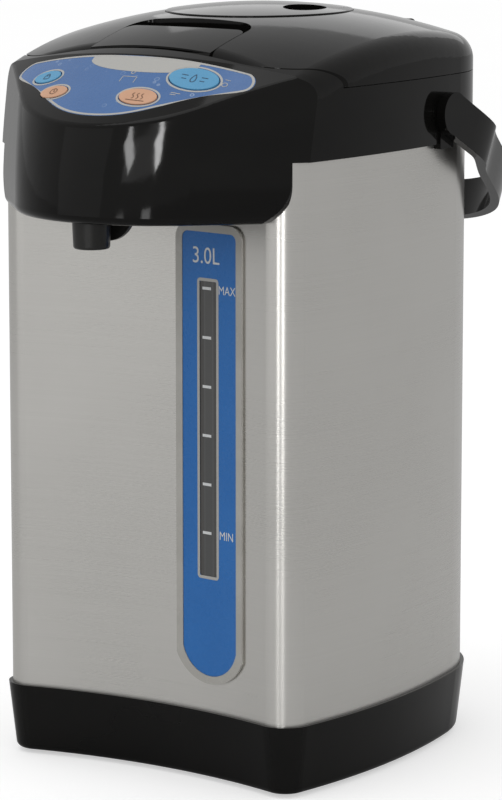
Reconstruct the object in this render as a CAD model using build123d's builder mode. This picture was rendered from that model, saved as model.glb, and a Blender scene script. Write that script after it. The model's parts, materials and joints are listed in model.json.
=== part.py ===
from build123d import *
import os
from math import atan2, cos, degrees, radians, sin, sqrt, tan

# An electric thermo pot: a steel-sided vessel on a base, with a pump, a spout head, a hinged
# lid and a bail handle.  Millimetres, +Z up, front towards -Y, standing on z = 0.

os.makedirs("parts", exist_ok=True)

# ---------------------------------------------------------------- driving dimensions
# Body outline seen from above, at the lip of the base
half_width = 83.3        # at the widest place
widest_y = -11.0
corner_radius = 13.0     # front corners
corner_inset = 17.8      # from the widest line to the centre of a front corner
corner_y = -65.3         # centre of a front corner
front_hollow = 8.3       # how far the front face dips between its corners
rear_radius = 60.0
back_y = 101.9

# Levels
foot_height = 1.5
base_top = 31.4
steel_top = 268.0
seam_z = 297.0           # joint between collar and lid, at the sides
head_bottom = 243.0
crown_top = 326.4        # highest point of the lid

# Top surfaces
crown_y = 14.3           # where the lid is highest
crown_radius_x = 275.0
crown_radius_y = 265.5
crease_y = -78.6         # where the sloping panel meets the crown
panel_slope = 34.0       # degrees
panel_y = -81.0          # origin of the panel's own layout
panel_radius = 240.0     # across the panel

# Walls and gaps
base_inset = 3.4         # taper of the base, top to bottom
base_wall = 9.0
base_round = 3.0
plate_rebate = 7.2
steel_inset = 1.8        # steel face behind the lip of the base
steel_wall = 0.7
steel_seat = 26.0        # ledge that the steel stands on
collar_inset = 0.9
collar_push = 2.2        # the collar's front corners stand out this much further
skirt_y = -74.0          # the head's skirt ends here, just round the front corners
skirt_half = 74.5
skirt_round = 17.0
skirt_drop = 1.5         # the skirt's side view starts this much below the head
locating_skirt = 6.0
shell_wall = 2.4
plate = 2.0
seam = 0.3               # gap on each moving or lift-off edge
fit = 0.1                # gap of pieces that are assembled and stay
glue = 0.02              # under a stuck-down film or label

# Base details
boss_inset = 14.8
boss_front_y = -50.0
boss_rear_y = 30.0
boss_size = 4.5
screw_radius = 1.5
screw_head = 3.2
screw_head_height = 1.1
screw_length = 13.0
foot_inset = 29.0
foot_front_y = -52.0
foot_rear_y = 62.0
foot_radius = 8.0
foot_stem = 2.4
vent_rows_y = 27.0
inlet_half = 19.0
inlet_low = 7.0
inlet_high = 25.0
inlet_front = 86.0
inlet_depth = 10.0
inlet_well = 6.0
pin_spacing = 8.0
pin_radius = 2.2
board_z = 9.0

# Vessel
vessel_round = 12.0
vessel_flange = 3.2
spigot_radius = 6.0
spigot_length = 2.2
insulation_thick = 3.6
insulation_low = 60.0
insulation_high = 255.0
heater_radius = 60.0
heater_thick = 4.0
sensor_radius = 9.0
vessel_radius = 74.6
vessel_y = 14.0
vessel_floor = 45.0
vessel_wall = 0.6
mouth_radius = 64.0
deck_z = 272.0           # ledge of the collar that carries the vessel

# Water gauge
gauge_x = 31.0
gauge_width = 30.0
gauge_bottom = 47.0
gauge_top = 236.4
gauge_corner = 3.0
gauge_arc = 11.7
gauge_tuck = 2.0
bezel_border = 3.4
bezel_proud = 1.2        # bezel in front of the steel
bezel_depth = 2.2        # and behind its face
label_rest = 0.35
window_x = 30.0
window_width = 9.8
window_bottom = 90.0
window_top = 216.0
tube_radius = 4.2
tube_bore = 2.9
tube_depth = 9.0         # level tube behind the line of the front face
tube_low = 62.0
tube_high = 228.0
sleeve_half = 8.0
sleeve_wall = 1.8

# Control panel in plan
panel_half = 64.0
panel_tip_y = -75.0
panel_tip_round = 4.5
panel_side_y = -91.5     # at 0.72 of the half width
panel_rear_y = -79.2
panel_front_y = -112.8

# Spout head in plan, at four levels: level, y of the nose, reach of the 45-degree flanks
# (x - y along a flank)
head_levels = [
    (head_bottom, -124.5, 150.0),
    (head_bottom + 25, -121.5, 148.5),
    (head_bottom + 60, -112.3, 142.8),
    (head_bottom + 90, -104.0, 138.0),
]
head_half = 70.5         # the head's front block; the collar's corners close it at the sides
head_rear = -60.0
head_round = 3.2         # bottom edge of the prow
head_rim = 4.4           # ledge that the underside plate sits in
head_hollow = 63.0       # half width of the space inside
crease_round = 3.5       # edge between the sloping panel and the prow

head_port = 40.0         # half width of the opening in the steel behind the head

# Spout
nozzle_y = -111.3
nozzle_top_radius = 8.2
nozzle_end_radius = 7.6
nozzle_bore = 4.6
nozzle_flange = 9.8
nozzle_end = 231.6
nozzle_seat = 246.2
pipe_z = 262.0

# Cup lever behind the nozzle
lever_front = -101.8
lever_thick = 2.2
lever_low = 233.8
lever_radius = 14.5
lever_half = 14.4
lever_pin_y = -100.7
lever_pin_z = 250.5
lever_barrel = 2.8
lever_pin_radius = 1.2
underside_z = 244.2      # plate that closes the head from below

# Keys: across, along, half length, half width
keys = {
    "dispense_key": (34.5, 8.4, 11.5, 6.5),
    "boil_key": (16.1, 24.0, 9.0, 5.0),
    "lock_key": (-39.4, 11.5, 7.0, 4.0),
    "timer_key": (-28.4, 22.8, 7.0, 4.0),
}
film = 0.8
key_proud = 0.4
key_round = 0.3
key_flange = 1.4
key_drop = 0.8           # flange below the panel's wall
key_gap = 1.2            # stem above its switch
board_depth = 13.0       # control board below the panel's upper edge
switch_high = 3.4
board_pillars = [(3.0, -9.0), (-8.0, -22.0)]

# Lid pieces
lid_front = -73.0
lid_gap = 0.8            # the lid's front edge swings forward a little as it opens
rim_ledge = 3.2          # ledge under the lid's front edge
lid_corner = 40.0
lid_edge_round = 12.0
lid_wall = 2.2
pan_radius = 70.0
pan_bottom = 275.6
gasket_radius = 72.0
vent_y = 11.0
vent_radius = 41.0
vent_slot_x = 25.0
vent_slot_y = 9.0
vent_slot_half = 8.0
vent_slot_long = 12.0
vent_proud = 0.5         # the cap's face above the lid
vent_floor = 316.5
duct_radius = 6.5
hub_radius = 3.4
grille_z = 319.0
pan_plate_z = 297.4
steam_radius = 16.0
latch_half = 31.0
latch_rear = -42.0
latch_dip = 5.0          # the flap's rear edge is hollow in the middle
latch_scoop = 100.0
latch_corner = 4.0
latch_front = -70.0      # front edge of the flap's plate
recess_rear = -33.5
recess_corner = 10.0
latch_pin_y = -67.5
latch_pin_z = 307.4
latch_barrel = 4.0
latch_floor = 302.0
latch_pin_radius = 1.5
hook_half = 6.0
hook_rear = -64.0
hook_thick = 2.4
hook_reach = 1.3         # the hook's toe in front of its stem
hook_low = 291.0
hinge_y = back_y + 2.6
hinge_z = 310.0
hinge_radius = 5.6
hinge_half = 19.0
knuckle_half = 11.5
bracket_low = 284.0
hinge_pin_radius = 2.0

# Handle
pivot_y = 33.0
pivot_z = 281.0
boss_radius = 9.2
handle_x = half_width - 0.5      # inner face of each arm
handle_thick = 4.2
handle_width = 18.0
handle_rest = 26.3       # degrees below level
handle_straight = 18.0   # straight part of each arm beyond the pivot
handle_reach = 115.8     # pivot to the outside of the grip
# places on the loop, as shares of its half width and of its reach
handle_curve = [(0.940, 0.363), (0.822, 0.622), (0.638, 0.855), (0.356, 0.978)]
mount_tab = 5.2
mount_low = 266.0
handle_pin = 4.0
pin_inner_x = handle_x - 6.8

# Pump
pump_y = -35.0
pump_radius = 18.0
pump_floor = 27.0
pump_top = 40.0
neck_length = 2.0
outlet_z = 35.6
outlet_length = 8.0
impeller_radius = 13.5
pin_shaft = 1.2
magnet_radius = 11.0
motor_radius = 15.0
motor_low = 6.0
motor_top = 22.0
shaft_radius = 1.2

# ---------------------------------------------------------------- values that follow
class Outline:
    """Body outline: a chain of tangent arcs for front hollow, corner, side and rear.

    push moves the centres of the front corners outward and forward.
    """

    def __init__(self, push=0.0):
        self.corner_x = half_width - corner_inset + push
        self.corner_y = corner_y - push
        self.half = half_width + push / 4
        inset = self.half - self.corner_x
        reach = widest_y - self.corner_y
        drop = corner_radius - front_hollow
        self.front_radius = (self.corner_x**2 + drop**2 - corner_radius**2) / (
            2 * (corner_radius - drop)
        )
        self.front_y = self.corner_y - drop - self.front_radius
        self.side_radius = (inset**2 + reach**2 - corner_radius**2) / (
            2 * (inset - corner_radius)
        )
        self.side_x = self.half - self.side_radius
        self.rear_y = back_y - rear_radius
        self.rear_x = self.side_x + sqrt(
            (self.side_radius - rear_radius) ** 2 - (self.rear_y - widest_y) ** 2
        )
        self.front_angle = degrees(atan2(self.corner_y - self.front_y, self.corner_x))
        self.side_angle = degrees(
            atan2(self.corner_y - widest_y, self.corner_x - self.side_x)
        )
        self.rear_angle = degrees(atan2(self.rear_y - widest_y, self.rear_x - self.side_x))


plain = Outline()
pushed = Outline(collar_push)
tube_y = plain.front_y + sqrt((plain.front_radius + tube_depth) ** 2 - window_x**2)
vessel_outer = vessel_radius + vessel_wall
lid_inset = collar_inset + lid_wall
slope = radians(panel_slope)


def crown_z(x, y):
    """Height of the crowned top surface."""
    across = crown_radius_x - sqrt(crown_radius_x**2 - x**2)
    along = sqrt((crown_radius_y - across) ** 2 - (y - crown_y) ** 2)
    return crown_top - crown_radius_y + along


panel_z = crown_z(0, crease_y) - (crease_y - panel_y) * tan(slope)
front_mid_y = corner_y - corner_radius + front_hollow


# ---------------------------------------------------------------- shared shapes
def body_outline(grow=0.0, shape=plain):
    """The body's outline as a flat face, offset outward by grow."""
    with BuildSketch() as outline:
        with BuildLine():
            CenterArc(
                (0, shape.front_y), shape.front_radius - grow,
                shape.front_angle, 180 - 2 * shape.front_angle,
            )
            CenterArc(
                (shape.corner_x, shape.corner_y), corner_radius + grow,
                shape.front_angle - 180, shape.side_angle - shape.front_angle + 180,
            )
            CenterArc(
                (shape.side_x, widest_y), shape.side_radius + grow,
                shape.side_angle, shape.rear_angle - shape.side_angle,
            )
            CenterArc(
                (shape.rear_x, shape.rear_y), rear_radius + grow,
                shape.rear_angle, 90 - shape.rear_angle,
            )
            Line((shape.rear_x, back_y + grow), (-shape.rear_x, back_y + grow))
            CenterArc(
                (-shape.rear_x, shape.rear_y), rear_radius + grow, 90, 90 - shape.rear_angle
            )
            CenterArc(
                (-shape.side_x, widest_y), shape.side_radius + grow,
                180 - shape.rear_angle, shape.rear_angle - shape.side_angle,
            )
            CenterArc(
                (-shape.corner_x, shape.corner_y), corner_radius + grow,
                180 - shape.side_angle, 180 - shape.front_angle + shape.side_angle,
            )
        make_face()
    return outline.sketch


def prism(face, bottom, top):
    """A flat face raised from bottom to top."""
    with BuildPart() as block:
        with BuildSketch(Plane.XY.offset(bottom)):
            add(face)
        extrude(amount=top - bottom)
    return block.part


def slab(x_range, y_range, z_range):
    """A plain block between two corners."""
    with BuildPart() as block:
        with BuildSketch(Plane.XY.offset(z_range[0])):
            with Locations((sum(x_range) / 2, sum(y_range) / 2)):
                Rectangle(x_range[1] - x_range[0], y_range[1] - y_range[0])
        extrude(amount=z_range[1] - z_range[0])
    return block.part


def crown_block(sink=0.0):
    """Everything under the crowned top surface, lowered by sink."""
    level = crown_top - crown_radius_y
    reach = 130.0
    top = crown_top - sink
    edge = crown_top - crown_radius_x + sqrt((crown_radius_x - sink) ** 2 - reach**2)
    with BuildPart() as block:
        with BuildSketch(Plane.XZ.offset(-crown_y)) as section:
            with BuildLine():
                ThreePointArc((-reach, edge), (0, top), (reach, edge))
                Polyline((reach, edge), (reach, level + 20), (-reach, level + 20), (-reach, edge))
            make_face()
        axis = Axis((0, crown_y, level), (1, 0, 0))
        revolve(section.sketch, axis=axis, revolution_arc=40)
        revolve(section.sketch, axis=axis, revolution_arc=-40)
    return block.part


def slope_block(sink=0.0):
    """Everything under the sloping panel surface, lowered by sink."""
    reach = 120.0
    radius = panel_radius - sink
    with BuildPart() as block:
        face_plane = Plane(
            origin=(0, panel_y, panel_z), x_dir=(1, 0, 0), z_dir=(0, -cos(slope), -sin(slope))
        )
        with BuildSketch(face_plane):
            with BuildLine():
                edge = -panel_radius + sqrt(radius**2 - reach**2)
                ThreePointArc((-reach, edge), (0, -sink), (reach, edge))
                Polyline((reach, edge), (reach, -220), (-reach, -220), (-reach, edge))
            make_face()
        extrude(amount=280, both=True)
    return block.part


def prow_section(nose_y, flank, grow):
    """Plan of the prow at one level: an arc round the nose between two 45-degree flanks."""
    nose = nose_y - grow
    line = flank + grow * sqrt(2)
    radius = (line + nose) / (sqrt(2) - 1)
    bend = (radius * sqrt(0.5), nose + radius * (1 - sqrt(0.5)))
    reach = 110.0
    with BuildSketch() as section:
        with BuildLine():
            ThreePointArc((-bend[0], bend[1]), (0, nose), bend)
            Polyline(
                bend, (reach, reach - line), (reach, back_y + 20),
                (-reach, back_y + 20), (-reach, reach - line), (-bend[0], bend[1]),
            )
        make_face()
    return section.sketch


def prow(grow=0.0):
    """Everything behind the prow of the spout head, offset outward by grow."""
    with BuildPart() as block:
        for level, nose_y, flank in head_levels:
            with BuildSketch(Plane.XY.offset(level)):
                add(prow_section(nose_y, flank, grow))
        loft()
    return block.part


def lid_region(grow=0.0, front=0.0):
    """The lid's space: the head ends in front of it and the collar below it."""
    with BuildPart() as region:
        with BuildSketch(Plane.XY.offset(seam_z - grow)):
            with Locations((0, lid_front + 100 - front)):
                RectangleRounded(2 * (half_width + 1 + front), 200, lid_corner + front)
        extrude(amount=60)
    return region.part


def gauge_shape(grow=0.0):
    """Front view of the gauge label: straight sides and a round bottom end."""
    half = gauge_width / 2 + grow
    low = gauge_bottom - grow
    with BuildSketch() as shape:
        with BuildLine():
            Polyline(
                (gauge_x - half, low + gauge_arc), (gauge_x - half, gauge_top + grow),
                (gauge_x + half, gauge_top + grow), (gauge_x + half, low + gauge_arc),
            )
            ThreePointArc(
                (gauge_x + half, low + gauge_arc), (gauge_x, low), (gauge_x - half, low + gauge_arc)
            )
        make_face()
        fillet(shape.vertices().group_by(Axis.Y)[-1], gauge_corner + grow)
    return shape.sketch


def window_shape(grow=0.0):
    """Front view of the gauge window."""
    with BuildSketch() as shape:
        with Locations((window_x, (window_bottom + window_top) / 2)):
            RectangleRounded(
                window_width + 2 * grow, window_top - window_bottom + 2 * grow, 1.5 + grow
            )
    return shape.sketch


def on_front(view, front, back):
    """A front view made solid between two depths behind the hollow front face."""
    with BuildPart() as piece:
        with BuildSketch(Plane.XZ.offset(100)):
            add(view)
        extrude(amount=-60)
        with BuildSketch() as layer:
            with Locations((0, plain.front_y)):
                Circle(plain.front_radius + back)
                Circle(plain.front_radius + front, mode=Mode.SUBTRACT)
            with Locations((0, front_mid_y)):
                Rectangle(2 * half_width, 60, mode=Mode.INTERSECT)
        extrude(layer.sketch, amount=seam_z, mode=Mode.INTERSECT)
    return piece.part


def panel_place(across, along, lift=0.0):
    """Plane that lies on the sloping panel, across and along it from its upper edge."""
    turn = across / panel_radius
    normal = Vector(sin(turn), -sin(slope) * cos(turn), cos(slope) * cos(turn))
    axis_y = panel_y + panel_radius * sin(slope)
    axis_z = panel_z - panel_radius * cos(slope)
    reach = panel_radius + lift
    origin = Vector(0, axis_y - along * cos(slope), axis_z - along * sin(slope)) + normal * reach
    tangent = Vector(cos(turn), sin(slope) * sin(turn), -cos(slope) * sin(turn))
    return Plane(origin=origin, x_dir=tangent, z_dir=normal)


def panel_shape(grow=0.0):
    """Plan of the control panel: a lens with a blunt front."""
    half = panel_half + 2.5 * grow
    tip_y = panel_tip_y + 1.3 * grow
    rear = panel_rear_y + grow
    front = panel_front_y - grow
    with BuildSketch() as shape:
        with BuildLine():
            ThreePointArc((-half, tip_y), (0, rear), (half, tip_y))
            side = Spline(
                (0, front), (panel_half * 0.72, panel_side_y - grow * 0.7), (half, tip_y),
                tangents=[(1, 0), (0.25, 1)],
            )
            mirror(side, about=Plane.YZ)
        make_face()
        tips = shape.vertices().filter_by_position(Axis.Y, tip_y - 1, tip_y + 1)
        fillet(tips, panel_tip_round + grow)
    return shape.sketch


def on_panel(view, across, along, low, high):
    """A flat view raised between two heights over a place on the sloping panel."""
    with BuildPart() as piece:
        with BuildSketch(panel_place(across, along, low)):
            add(view)
        extrude(amount=high - low)
    return piece.part


def oval(half_long, half_wide):
    """A flat ellipse."""
    with BuildSketch() as shape:
        Ellipse(half_long, half_wide)
    return shape.sketch


def disc(radius):
    """A flat disc."""
    with BuildSketch() as shape:
        Circle(radius)
    return shape.sketch


def write(piece, name):
    """Label a finished piece and write its file."""
    piece.part.label = name
    export_step(piece.part, f"parts/{name}.step")


# ================================================================ base
boss_places = [
    (side * (half_width - boss_inset), y) for side in (1, -1) for y in (boss_front_y, boss_rear_y)
]
foot_places = [(0, 0)] + [
    (side * (half_width - foot_inset), y) for side in (1, -1) for y in (foot_front_y, foot_rear_y)
]
inlet_back = back_y - base_inset - 0.6

with BuildPart() as base_ring:
    with BuildSketch(Plane.XY.offset(foot_height)):
        add(body_outline(-base_inset))
    with BuildSketch(Plane.XY.offset(base_top)):
        add(body_outline())
    loft(ruled=True)
    fillet(base_ring.faces().sort_by(Axis.Z)[0].edges(), base_round)
    with BuildSketch(Plane.XY.offset(foot_height)):
        add(body_outline(-base_wall))
    extrude(amount=base_top, mode=Mode.SUBTRACT)
    with BuildSketch(Plane.XY.offset(steel_seat)):
        add(body_outline(-steel_inset + fit))
    extrude(amount=base_top, mode=Mode.SUBTRACT)
    with BuildSketch(Plane.XY.offset(foot_height)):
        add(body_outline(-plate_rebate))
    extrude(amount=plate, mode=Mode.SUBTRACT)
    with BuildSketch(Plane.XY.offset(foot_height + plate)):
        with Locations(*boss_places):
            Circle(boss_size)
    extrude(amount=steel_seat - foot_height - plate - 1)
    with BuildSketch(Plane.XY.offset(foot_height + plate)):
        with Locations(*boss_places):
            Circle(screw_radius + fit)
    extrude(amount=screw_length, mode=Mode.SUBTRACT)
    add(
        slab((-inlet_half - fit, inlet_half + fit), (inlet_front, back_y + 10),
             (inlet_low - fit, inlet_high + fit)),
        mode=Mode.SUBTRACT,
    )
write(base_ring, "base_ring")

with BuildPart() as bottom_plate:
    with BuildSketch(Plane.XY.offset(foot_height)):
        add(body_outline(-plate_rebate - fit))
        with Locations(*boss_places):
            Circle(screw_radius + 2 * fit, mode=Mode.SUBTRACT)
        with Locations(*foot_places):
            Circle(foot_stem + fit, mode=Mode.SUBTRACT)
        with Locations((0, vent_rows_y)):
            with GridLocations(9, 0, 9, 1):
                SlotOverall(26, 3, rotation=90, mode=Mode.SUBTRACT)
    extrude(amount=plate)
write(bottom_plate, "bottom_plate")

with BuildPart() as rubber_feet:
    with BuildSketch():
        with Locations(*foot_places):
            Circle(foot_radius)
    extrude(amount=foot_height)
    fillet(rubber_feet.edges().group_by(Axis.Z)[0], 0.5)
    with BuildSketch(Plane.XY.offset(foot_height)):
        with Locations(*foot_places):
            Circle(foot_stem)
    extrude(amount=plate + 1.5)
write(rubber_feet, "rubber_feet")

with BuildPart() as bottom_screws:
    with BuildSketch(Plane.XY.offset(foot_height - screw_head_height)):
        with Locations(*boss_places):
            Circle(screw_head)
            RegularPolygon(screw_radius, 6, mode=Mode.SUBTRACT)
    extrude(amount=screw_head_height)
    with BuildSketch(Plane.XY.offset(foot_height - 0.4)):
        with Locations(*boss_places):
            Circle(screw_radius)
    extrude(amount=screw_length)
write(bottom_screws, "bottom_screws")

with BuildPart() as power_inlet:
    add(slab((-inlet_half, inlet_half), (inlet_back - inlet_depth, inlet_back),
             (inlet_low, inlet_high)))
    fillet(power_inlet.edges().filter_by(Axis.Y), 2)
    add(
        slab((-inlet_half + 3, inlet_half - 3), (inlet_back - inlet_well, inlet_back + 5),
             (inlet_low + 3, inlet_high - 3)),
        mode=Mode.SUBTRACT,
    )
    with BuildSketch(Plane.XZ.offset(-inlet_back)):
        with Locations(*[(x, (inlet_low + inlet_high) / 2) for x in (-pin_spacing, pin_spacing)]):
            Circle(pin_radius + fit)
    extrude(amount=inlet_depth + 1, mode=Mode.SUBTRACT)
write(power_inlet, "power_inlet")

with BuildPart() as inlet_pins:
    with BuildSketch(Plane.XZ.offset(-inlet_back + 1.5)):
        with Locations(*[(x, (inlet_low + inlet_high) / 2) for x in (-pin_spacing, pin_spacing)]):
            Circle(pin_radius)
    extrude(amount=inlet_depth + 2)
    fillet(inlet_pins.faces().sort_by(Axis.Y)[-2:].edges(), 1)
write(inlet_pins, "inlet_pins")

# ================================================================ steel body and vessel
with BuildPart() as steel_shell:
    with BuildSketch(Plane.XY.offset(steel_seat)):
        add(body_outline(-steel_inset))
        add(body_outline(-steel_inset - steel_wall), mode=Mode.SUBTRACT)
    extrude(amount=steel_top - steel_seat)
    with BuildSketch(Plane.XZ.offset(100)):
        add(gauge_shape(-gauge_tuck + 2 * fit))
    extrude(amount=-60, mode=Mode.SUBTRACT)
    add(slab((-head_port, head_port), (-100, -50), (head_bottom + 7, steel_top + 1)),
        mode=Mode.SUBTRACT)
write(steel_shell, "steel_shell")

with BuildPart() as vessel_space:
    with BuildSketch(Plane.XY.offset(vessel_floor)):
        with Locations((0, vessel_y)):
            Circle(vessel_radius)
    extrude(amount=deck_z - vessel_floor)
    fillet(vessel_space.edges().group_by(Axis.Z)[0], vessel_round - vessel_wall)

with BuildPart() as inner_vessel:
    with BuildSketch(Plane.XY.offset(vessel_floor - vessel_wall)):
        with Locations((0, vessel_y)):
            Circle(vessel_outer)
    extrude(amount=deck_z + 1 - vessel_floor + vessel_wall)
    fillet(inner_vessel.edges().group_by(Axis.Z)[0], vessel_round)
    with BuildSketch(Plane.XY.offset(deck_z)):
        with Locations((0, vessel_y)):
            Circle(vessel_outer + vessel_flange)
    extrude(amount=1)
    add(vessel_space.part, mode=Mode.SUBTRACT)
    with BuildSketch(Plane.XY.offset(deck_z - 1)):
        with Locations((0, vessel_y)):
            Circle(mouth_radius)
    extrude(amount=3, mode=Mode.SUBTRACT)
    with BuildSketch(Plane.XY.offset(vessel_floor - vessel_wall)):
        with Locations((0, pump_y)):
            Circle(spigot_radius)
    extrude(amount=-spigot_length)
    with BuildSketch(Plane.XY.offset(vessel_floor + 1)):
        with Locations((0, pump_y)):
            Circle(spigot_radius - 1)
    extrude(amount=-spigot_length - 5, mode=Mode.SUBTRACT)
write(inner_vessel, "inner_vessel")

with BuildPart() as insulation:
    with BuildSketch(Plane.XY.offset(insulation_low)):
        with Locations((0, vessel_y)):
            Circle(vessel_outer + seam + insulation_thick)
            Circle(vessel_outer + seam, mode=Mode.SUBTRACT)
        with Locations((0, vessel_y + 16)):
            Rectangle(2 * half_width, 2 * (vessel_outer + 10), mode=Mode.INTERSECT)
    extrude(amount=insulation_high - insulation_low)
write(insulation, "insulation")

with BuildPart() as heater_plate:
    with BuildSketch(Plane.XY.offset(vessel_floor - vessel_wall - heater_thick)):
        with Locations((0, vessel_y)):
            Circle(heater_radius)
            Circle(sensor_radius + 1, mode=Mode.SUBTRACT)
        with Locations((0, pump_y)):
            Circle(spigot_radius + 8, mode=Mode.SUBTRACT)
    extrude(amount=heater_thick)
write(heater_plate, "heater_plate")

with BuildPart() as temperature_sensor:
    with BuildSketch(Plane.XY.offset(vessel_floor - vessel_wall)):
        with Locations((0, vessel_y)):
            Circle(sensor_radius)
    extrude(amount=-heater_thick)
    with BuildSketch(Plane.XY.offset(vessel_floor - vessel_wall - heater_thick)):
        with Locations((0, vessel_y)):
            Circle(sensor_radius + 4)
    extrude(amount=-2)
write(temperature_sensor, "temperature_sensor")

with BuildPart() as power_board:
    add(slab((-32, 32), (30, 78), (board_z, board_z + 1.6)))
    with Locations((-18, 60, board_z + 1.6), (10, 62, board_z + 1.6)):
        Box(20, 16, 11, align=(Align.CENTER, Align.CENTER, Align.MIN))
    with Locations((-20, 40, board_z + 1.6), (20, 42, board_z + 1.6)):
        Cylinder(5, 12, align=(Align.CENTER, Align.CENTER, Align.MIN))
write(power_board, "power_board")

with BuildPart() as board_posts:
    with Locations(*[(x, y, foot_height + plate) for x in (-28, 28) for y in (34, 74)]):
        Cylinder(3, board_z - foot_height - plate, align=(Align.CENTER, Align.CENTER, Align.MIN))
write(board_posts, "board_posts")

# ================================================================ pump and water path
rotor_low = motor_top + 1.0
with BuildPart() as pump_motor:
    with BuildSketch(Plane.XY.offset(motor_low)):
        with Locations((0, pump_y)):
            Circle(motor_radius)
    extrude(amount=motor_top - motor_low)
    fillet(pump_motor.edges().filter_by(GeomType.CIRCLE), 1)
    with BuildSketch(Plane.XY.offset(motor_top)):
        with Locations((0, pump_y)):
            Circle(shaft_radius + 2.5)
            Circle(shaft_radius + 0.05, mode=Mode.SUBTRACT)
    extrude(amount=0.5)
    with BuildSketch(Plane.XY.offset(motor_low + 4)):
        with Locations((0, pump_y)):
            Circle(shaft_radius + 0.05)
    extrude(amount=motor_top, mode=Mode.SUBTRACT)
write(pump_motor, "pump_motor")

with BuildPart() as motor_cushion:
    with BuildSketch(Plane.XY.offset(foot_height + plate)):
        with Locations((0, pump_y)):
            Circle(motor_radius - 3)
            Circle(motor_radius - 8, mode=Mode.SUBTRACT)
    extrude(amount=motor_low - foot_height - plate)
write(motor_cushion, "motor_cushion")

with BuildPart() as drive_magnet:
    with BuildSketch(Plane.XY.offset(motor_low + 4.3)):
        with Locations((0, pump_y)):
            Circle(shaft_radius)
    extrude(amount=rotor_low - motor_low - 2)
    with BuildSketch(Plane.XY.offset(rotor_low)):
        with Locations((0, pump_y)):
            Circle(magnet_radius)
    extrude(amount=pump_floor - 0.8 - rotor_low)
write(drive_magnet, "drive_magnet")

with BuildPart() as pump_housing:
    with BuildSketch(Plane.XY.offset(motor_top - 3)):
        with Locations((0, pump_y)):
            Circle(pump_radius)
    extrude(amount=pump_top - motor_top + 3)
    with BuildSketch(Plane.XY.offset(pump_top)):
        with Locations((0, pump_y)):
            Circle(spigot_radius)
    extrude(amount=neck_length)
    with BuildSketch(Plane.XY.offset(motor_top - 3)):
        with Locations((0, pump_y)):
            Circle(motor_radius + fit)
    extrude(amount=pump_floor - motor_top + 3, mode=Mode.SUBTRACT)
    with BuildSketch(Plane.XY.offset(pump_floor + plate)):
        with Locations((0, pump_y)):
            Circle(pump_radius - 2.5)
            Circle(pin_shaft, mode=Mode.SUBTRACT)
    extrude(amount=pump_top - pump_floor - 2 * plate, mode=Mode.SUBTRACT)
    with BuildSketch(Plane.XY.offset(pump_top - plate - 0.5)):
        with Locations((0, pump_y)):
            Circle(spigot_radius - 1)
    extrude(amount=neck_length + plate + 2, mode=Mode.SUBTRACT)
    outlet_way = Vector(window_x, tube_y - pump_y, 0).normalized()
    outlet_plane = Plane(
        origin=Vector(0, pump_y, outlet_z) + outlet_way * (pump_radius - 2), z_dir=outlet_way
    )
    with BuildSketch(outlet_plane):
        Circle(tube_bore)
    extrude(amount=outlet_length + 2)
    with BuildSketch(outlet_plane.offset(-3)):
        Circle(tube_bore - 1)
    extrude(amount=outlet_length + 8, mode=Mode.SUBTRACT)
write(pump_housing, "pump_housing")

with BuildPart() as impeller:
    impeller_low = pump_floor + plate + 0.5
    with BuildSketch(Plane.XY.offset(impeller_low)):
        with Locations((0, pump_y)):
            Circle(impeller_radius)
            Circle(pin_shaft + 0.08, mode=Mode.SUBTRACT)
    extrude(amount=1.5)
    with BuildSketch(Plane.XY.offset(impeller_low)):
        with Locations((0, pump_y)):
            Circle(pin_shaft + 2.5)
            Circle(pin_shaft + 0.08, mode=Mode.SUBTRACT)
    extrude(amount=5.5)
    with BuildSketch(Plane.XY.offset(impeller_low + 1.5)):
        with Locations((0, pump_y)):
            with PolarLocations(impeller_radius / 2 + 1.5, 6):
                Rectangle(impeller_radius - 4, 1.2)
    extrude(amount=3.5)
write(impeller, "impeller")

with BuildPart() as suction_joint:
    with BuildSketch(Plane.XY.offset(pump_top + 0.2)):
        with Locations((0, pump_y)):
            Circle(spigot_radius + 2.5)
            Circle(spigot_radius + fit / 2, mode=Mode.SUBTRACT)
    extrude(amount=vessel_floor - vessel_wall - pump_top - 0.4)
write(suction_joint, "suction_joint")

with BuildPart() as delivery_hose:
    with BuildLine() as hose_route:
        hose_start = Vector(0, pump_y, outlet_z) + outlet_way * (pump_radius + 0.4)
        FilletPolyline(
            hose_start, (window_x, tube_y, outlet_z), (window_x, tube_y, tube_low), radius=9
        )
    with BuildSketch(Plane(origin=hose_start, z_dir=outlet_way)):
        Circle(tube_radius)
        Circle(tube_bore + 0.05, mode=Mode.SUBTRACT)
    sweep(path=hose_route.wires()[0])
write(delivery_hose, "delivery_hose")

with BuildPart() as level_tube:
    with BuildSketch(Plane.XY.offset(tube_low)):
        with Locations((window_x, tube_y)):
            Circle(tube_radius)
            Circle(tube_bore, mode=Mode.SUBTRACT)
    extrude(amount=tube_high - tube_low)
write(level_tube, "level_tube")

for sleeve_name, sleeve_z in (("lower_sleeve", tube_low), ("upper_sleeve", tube_high)):
    with BuildPart() as sleeve:
        with BuildSketch(Plane.XY.offset(sleeve_z - sleeve_half)):
            with Locations((window_x, tube_y)):
                Circle(tube_radius + sleeve_wall)
                Circle(tube_radius + fit / 2, mode=Mode.SUBTRACT)
        extrude(amount=2 * sleeve_half)
    write(sleeve, sleeve_name)

with BuildPart() as spout_pipe:
    with BuildLine() as pipe_route:
        FilletPolyline(
            (window_x, tube_y, tube_high), (window_x, tube_y, pipe_z),
            (0, nozzle_y, pipe_z), (0, nozzle_y, nozzle_seat - 3), radius=9,
        )
    with BuildSketch(Plane.XY.offset(tube_high)):
        with Locations((window_x, tube_y)):
            Circle(tube_radius)
            Circle(tube_bore, mode=Mode.SUBTRACT)
    sweep(path=pipe_route.wires()[0])
write(spout_pipe, "spout_pipe")

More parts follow.
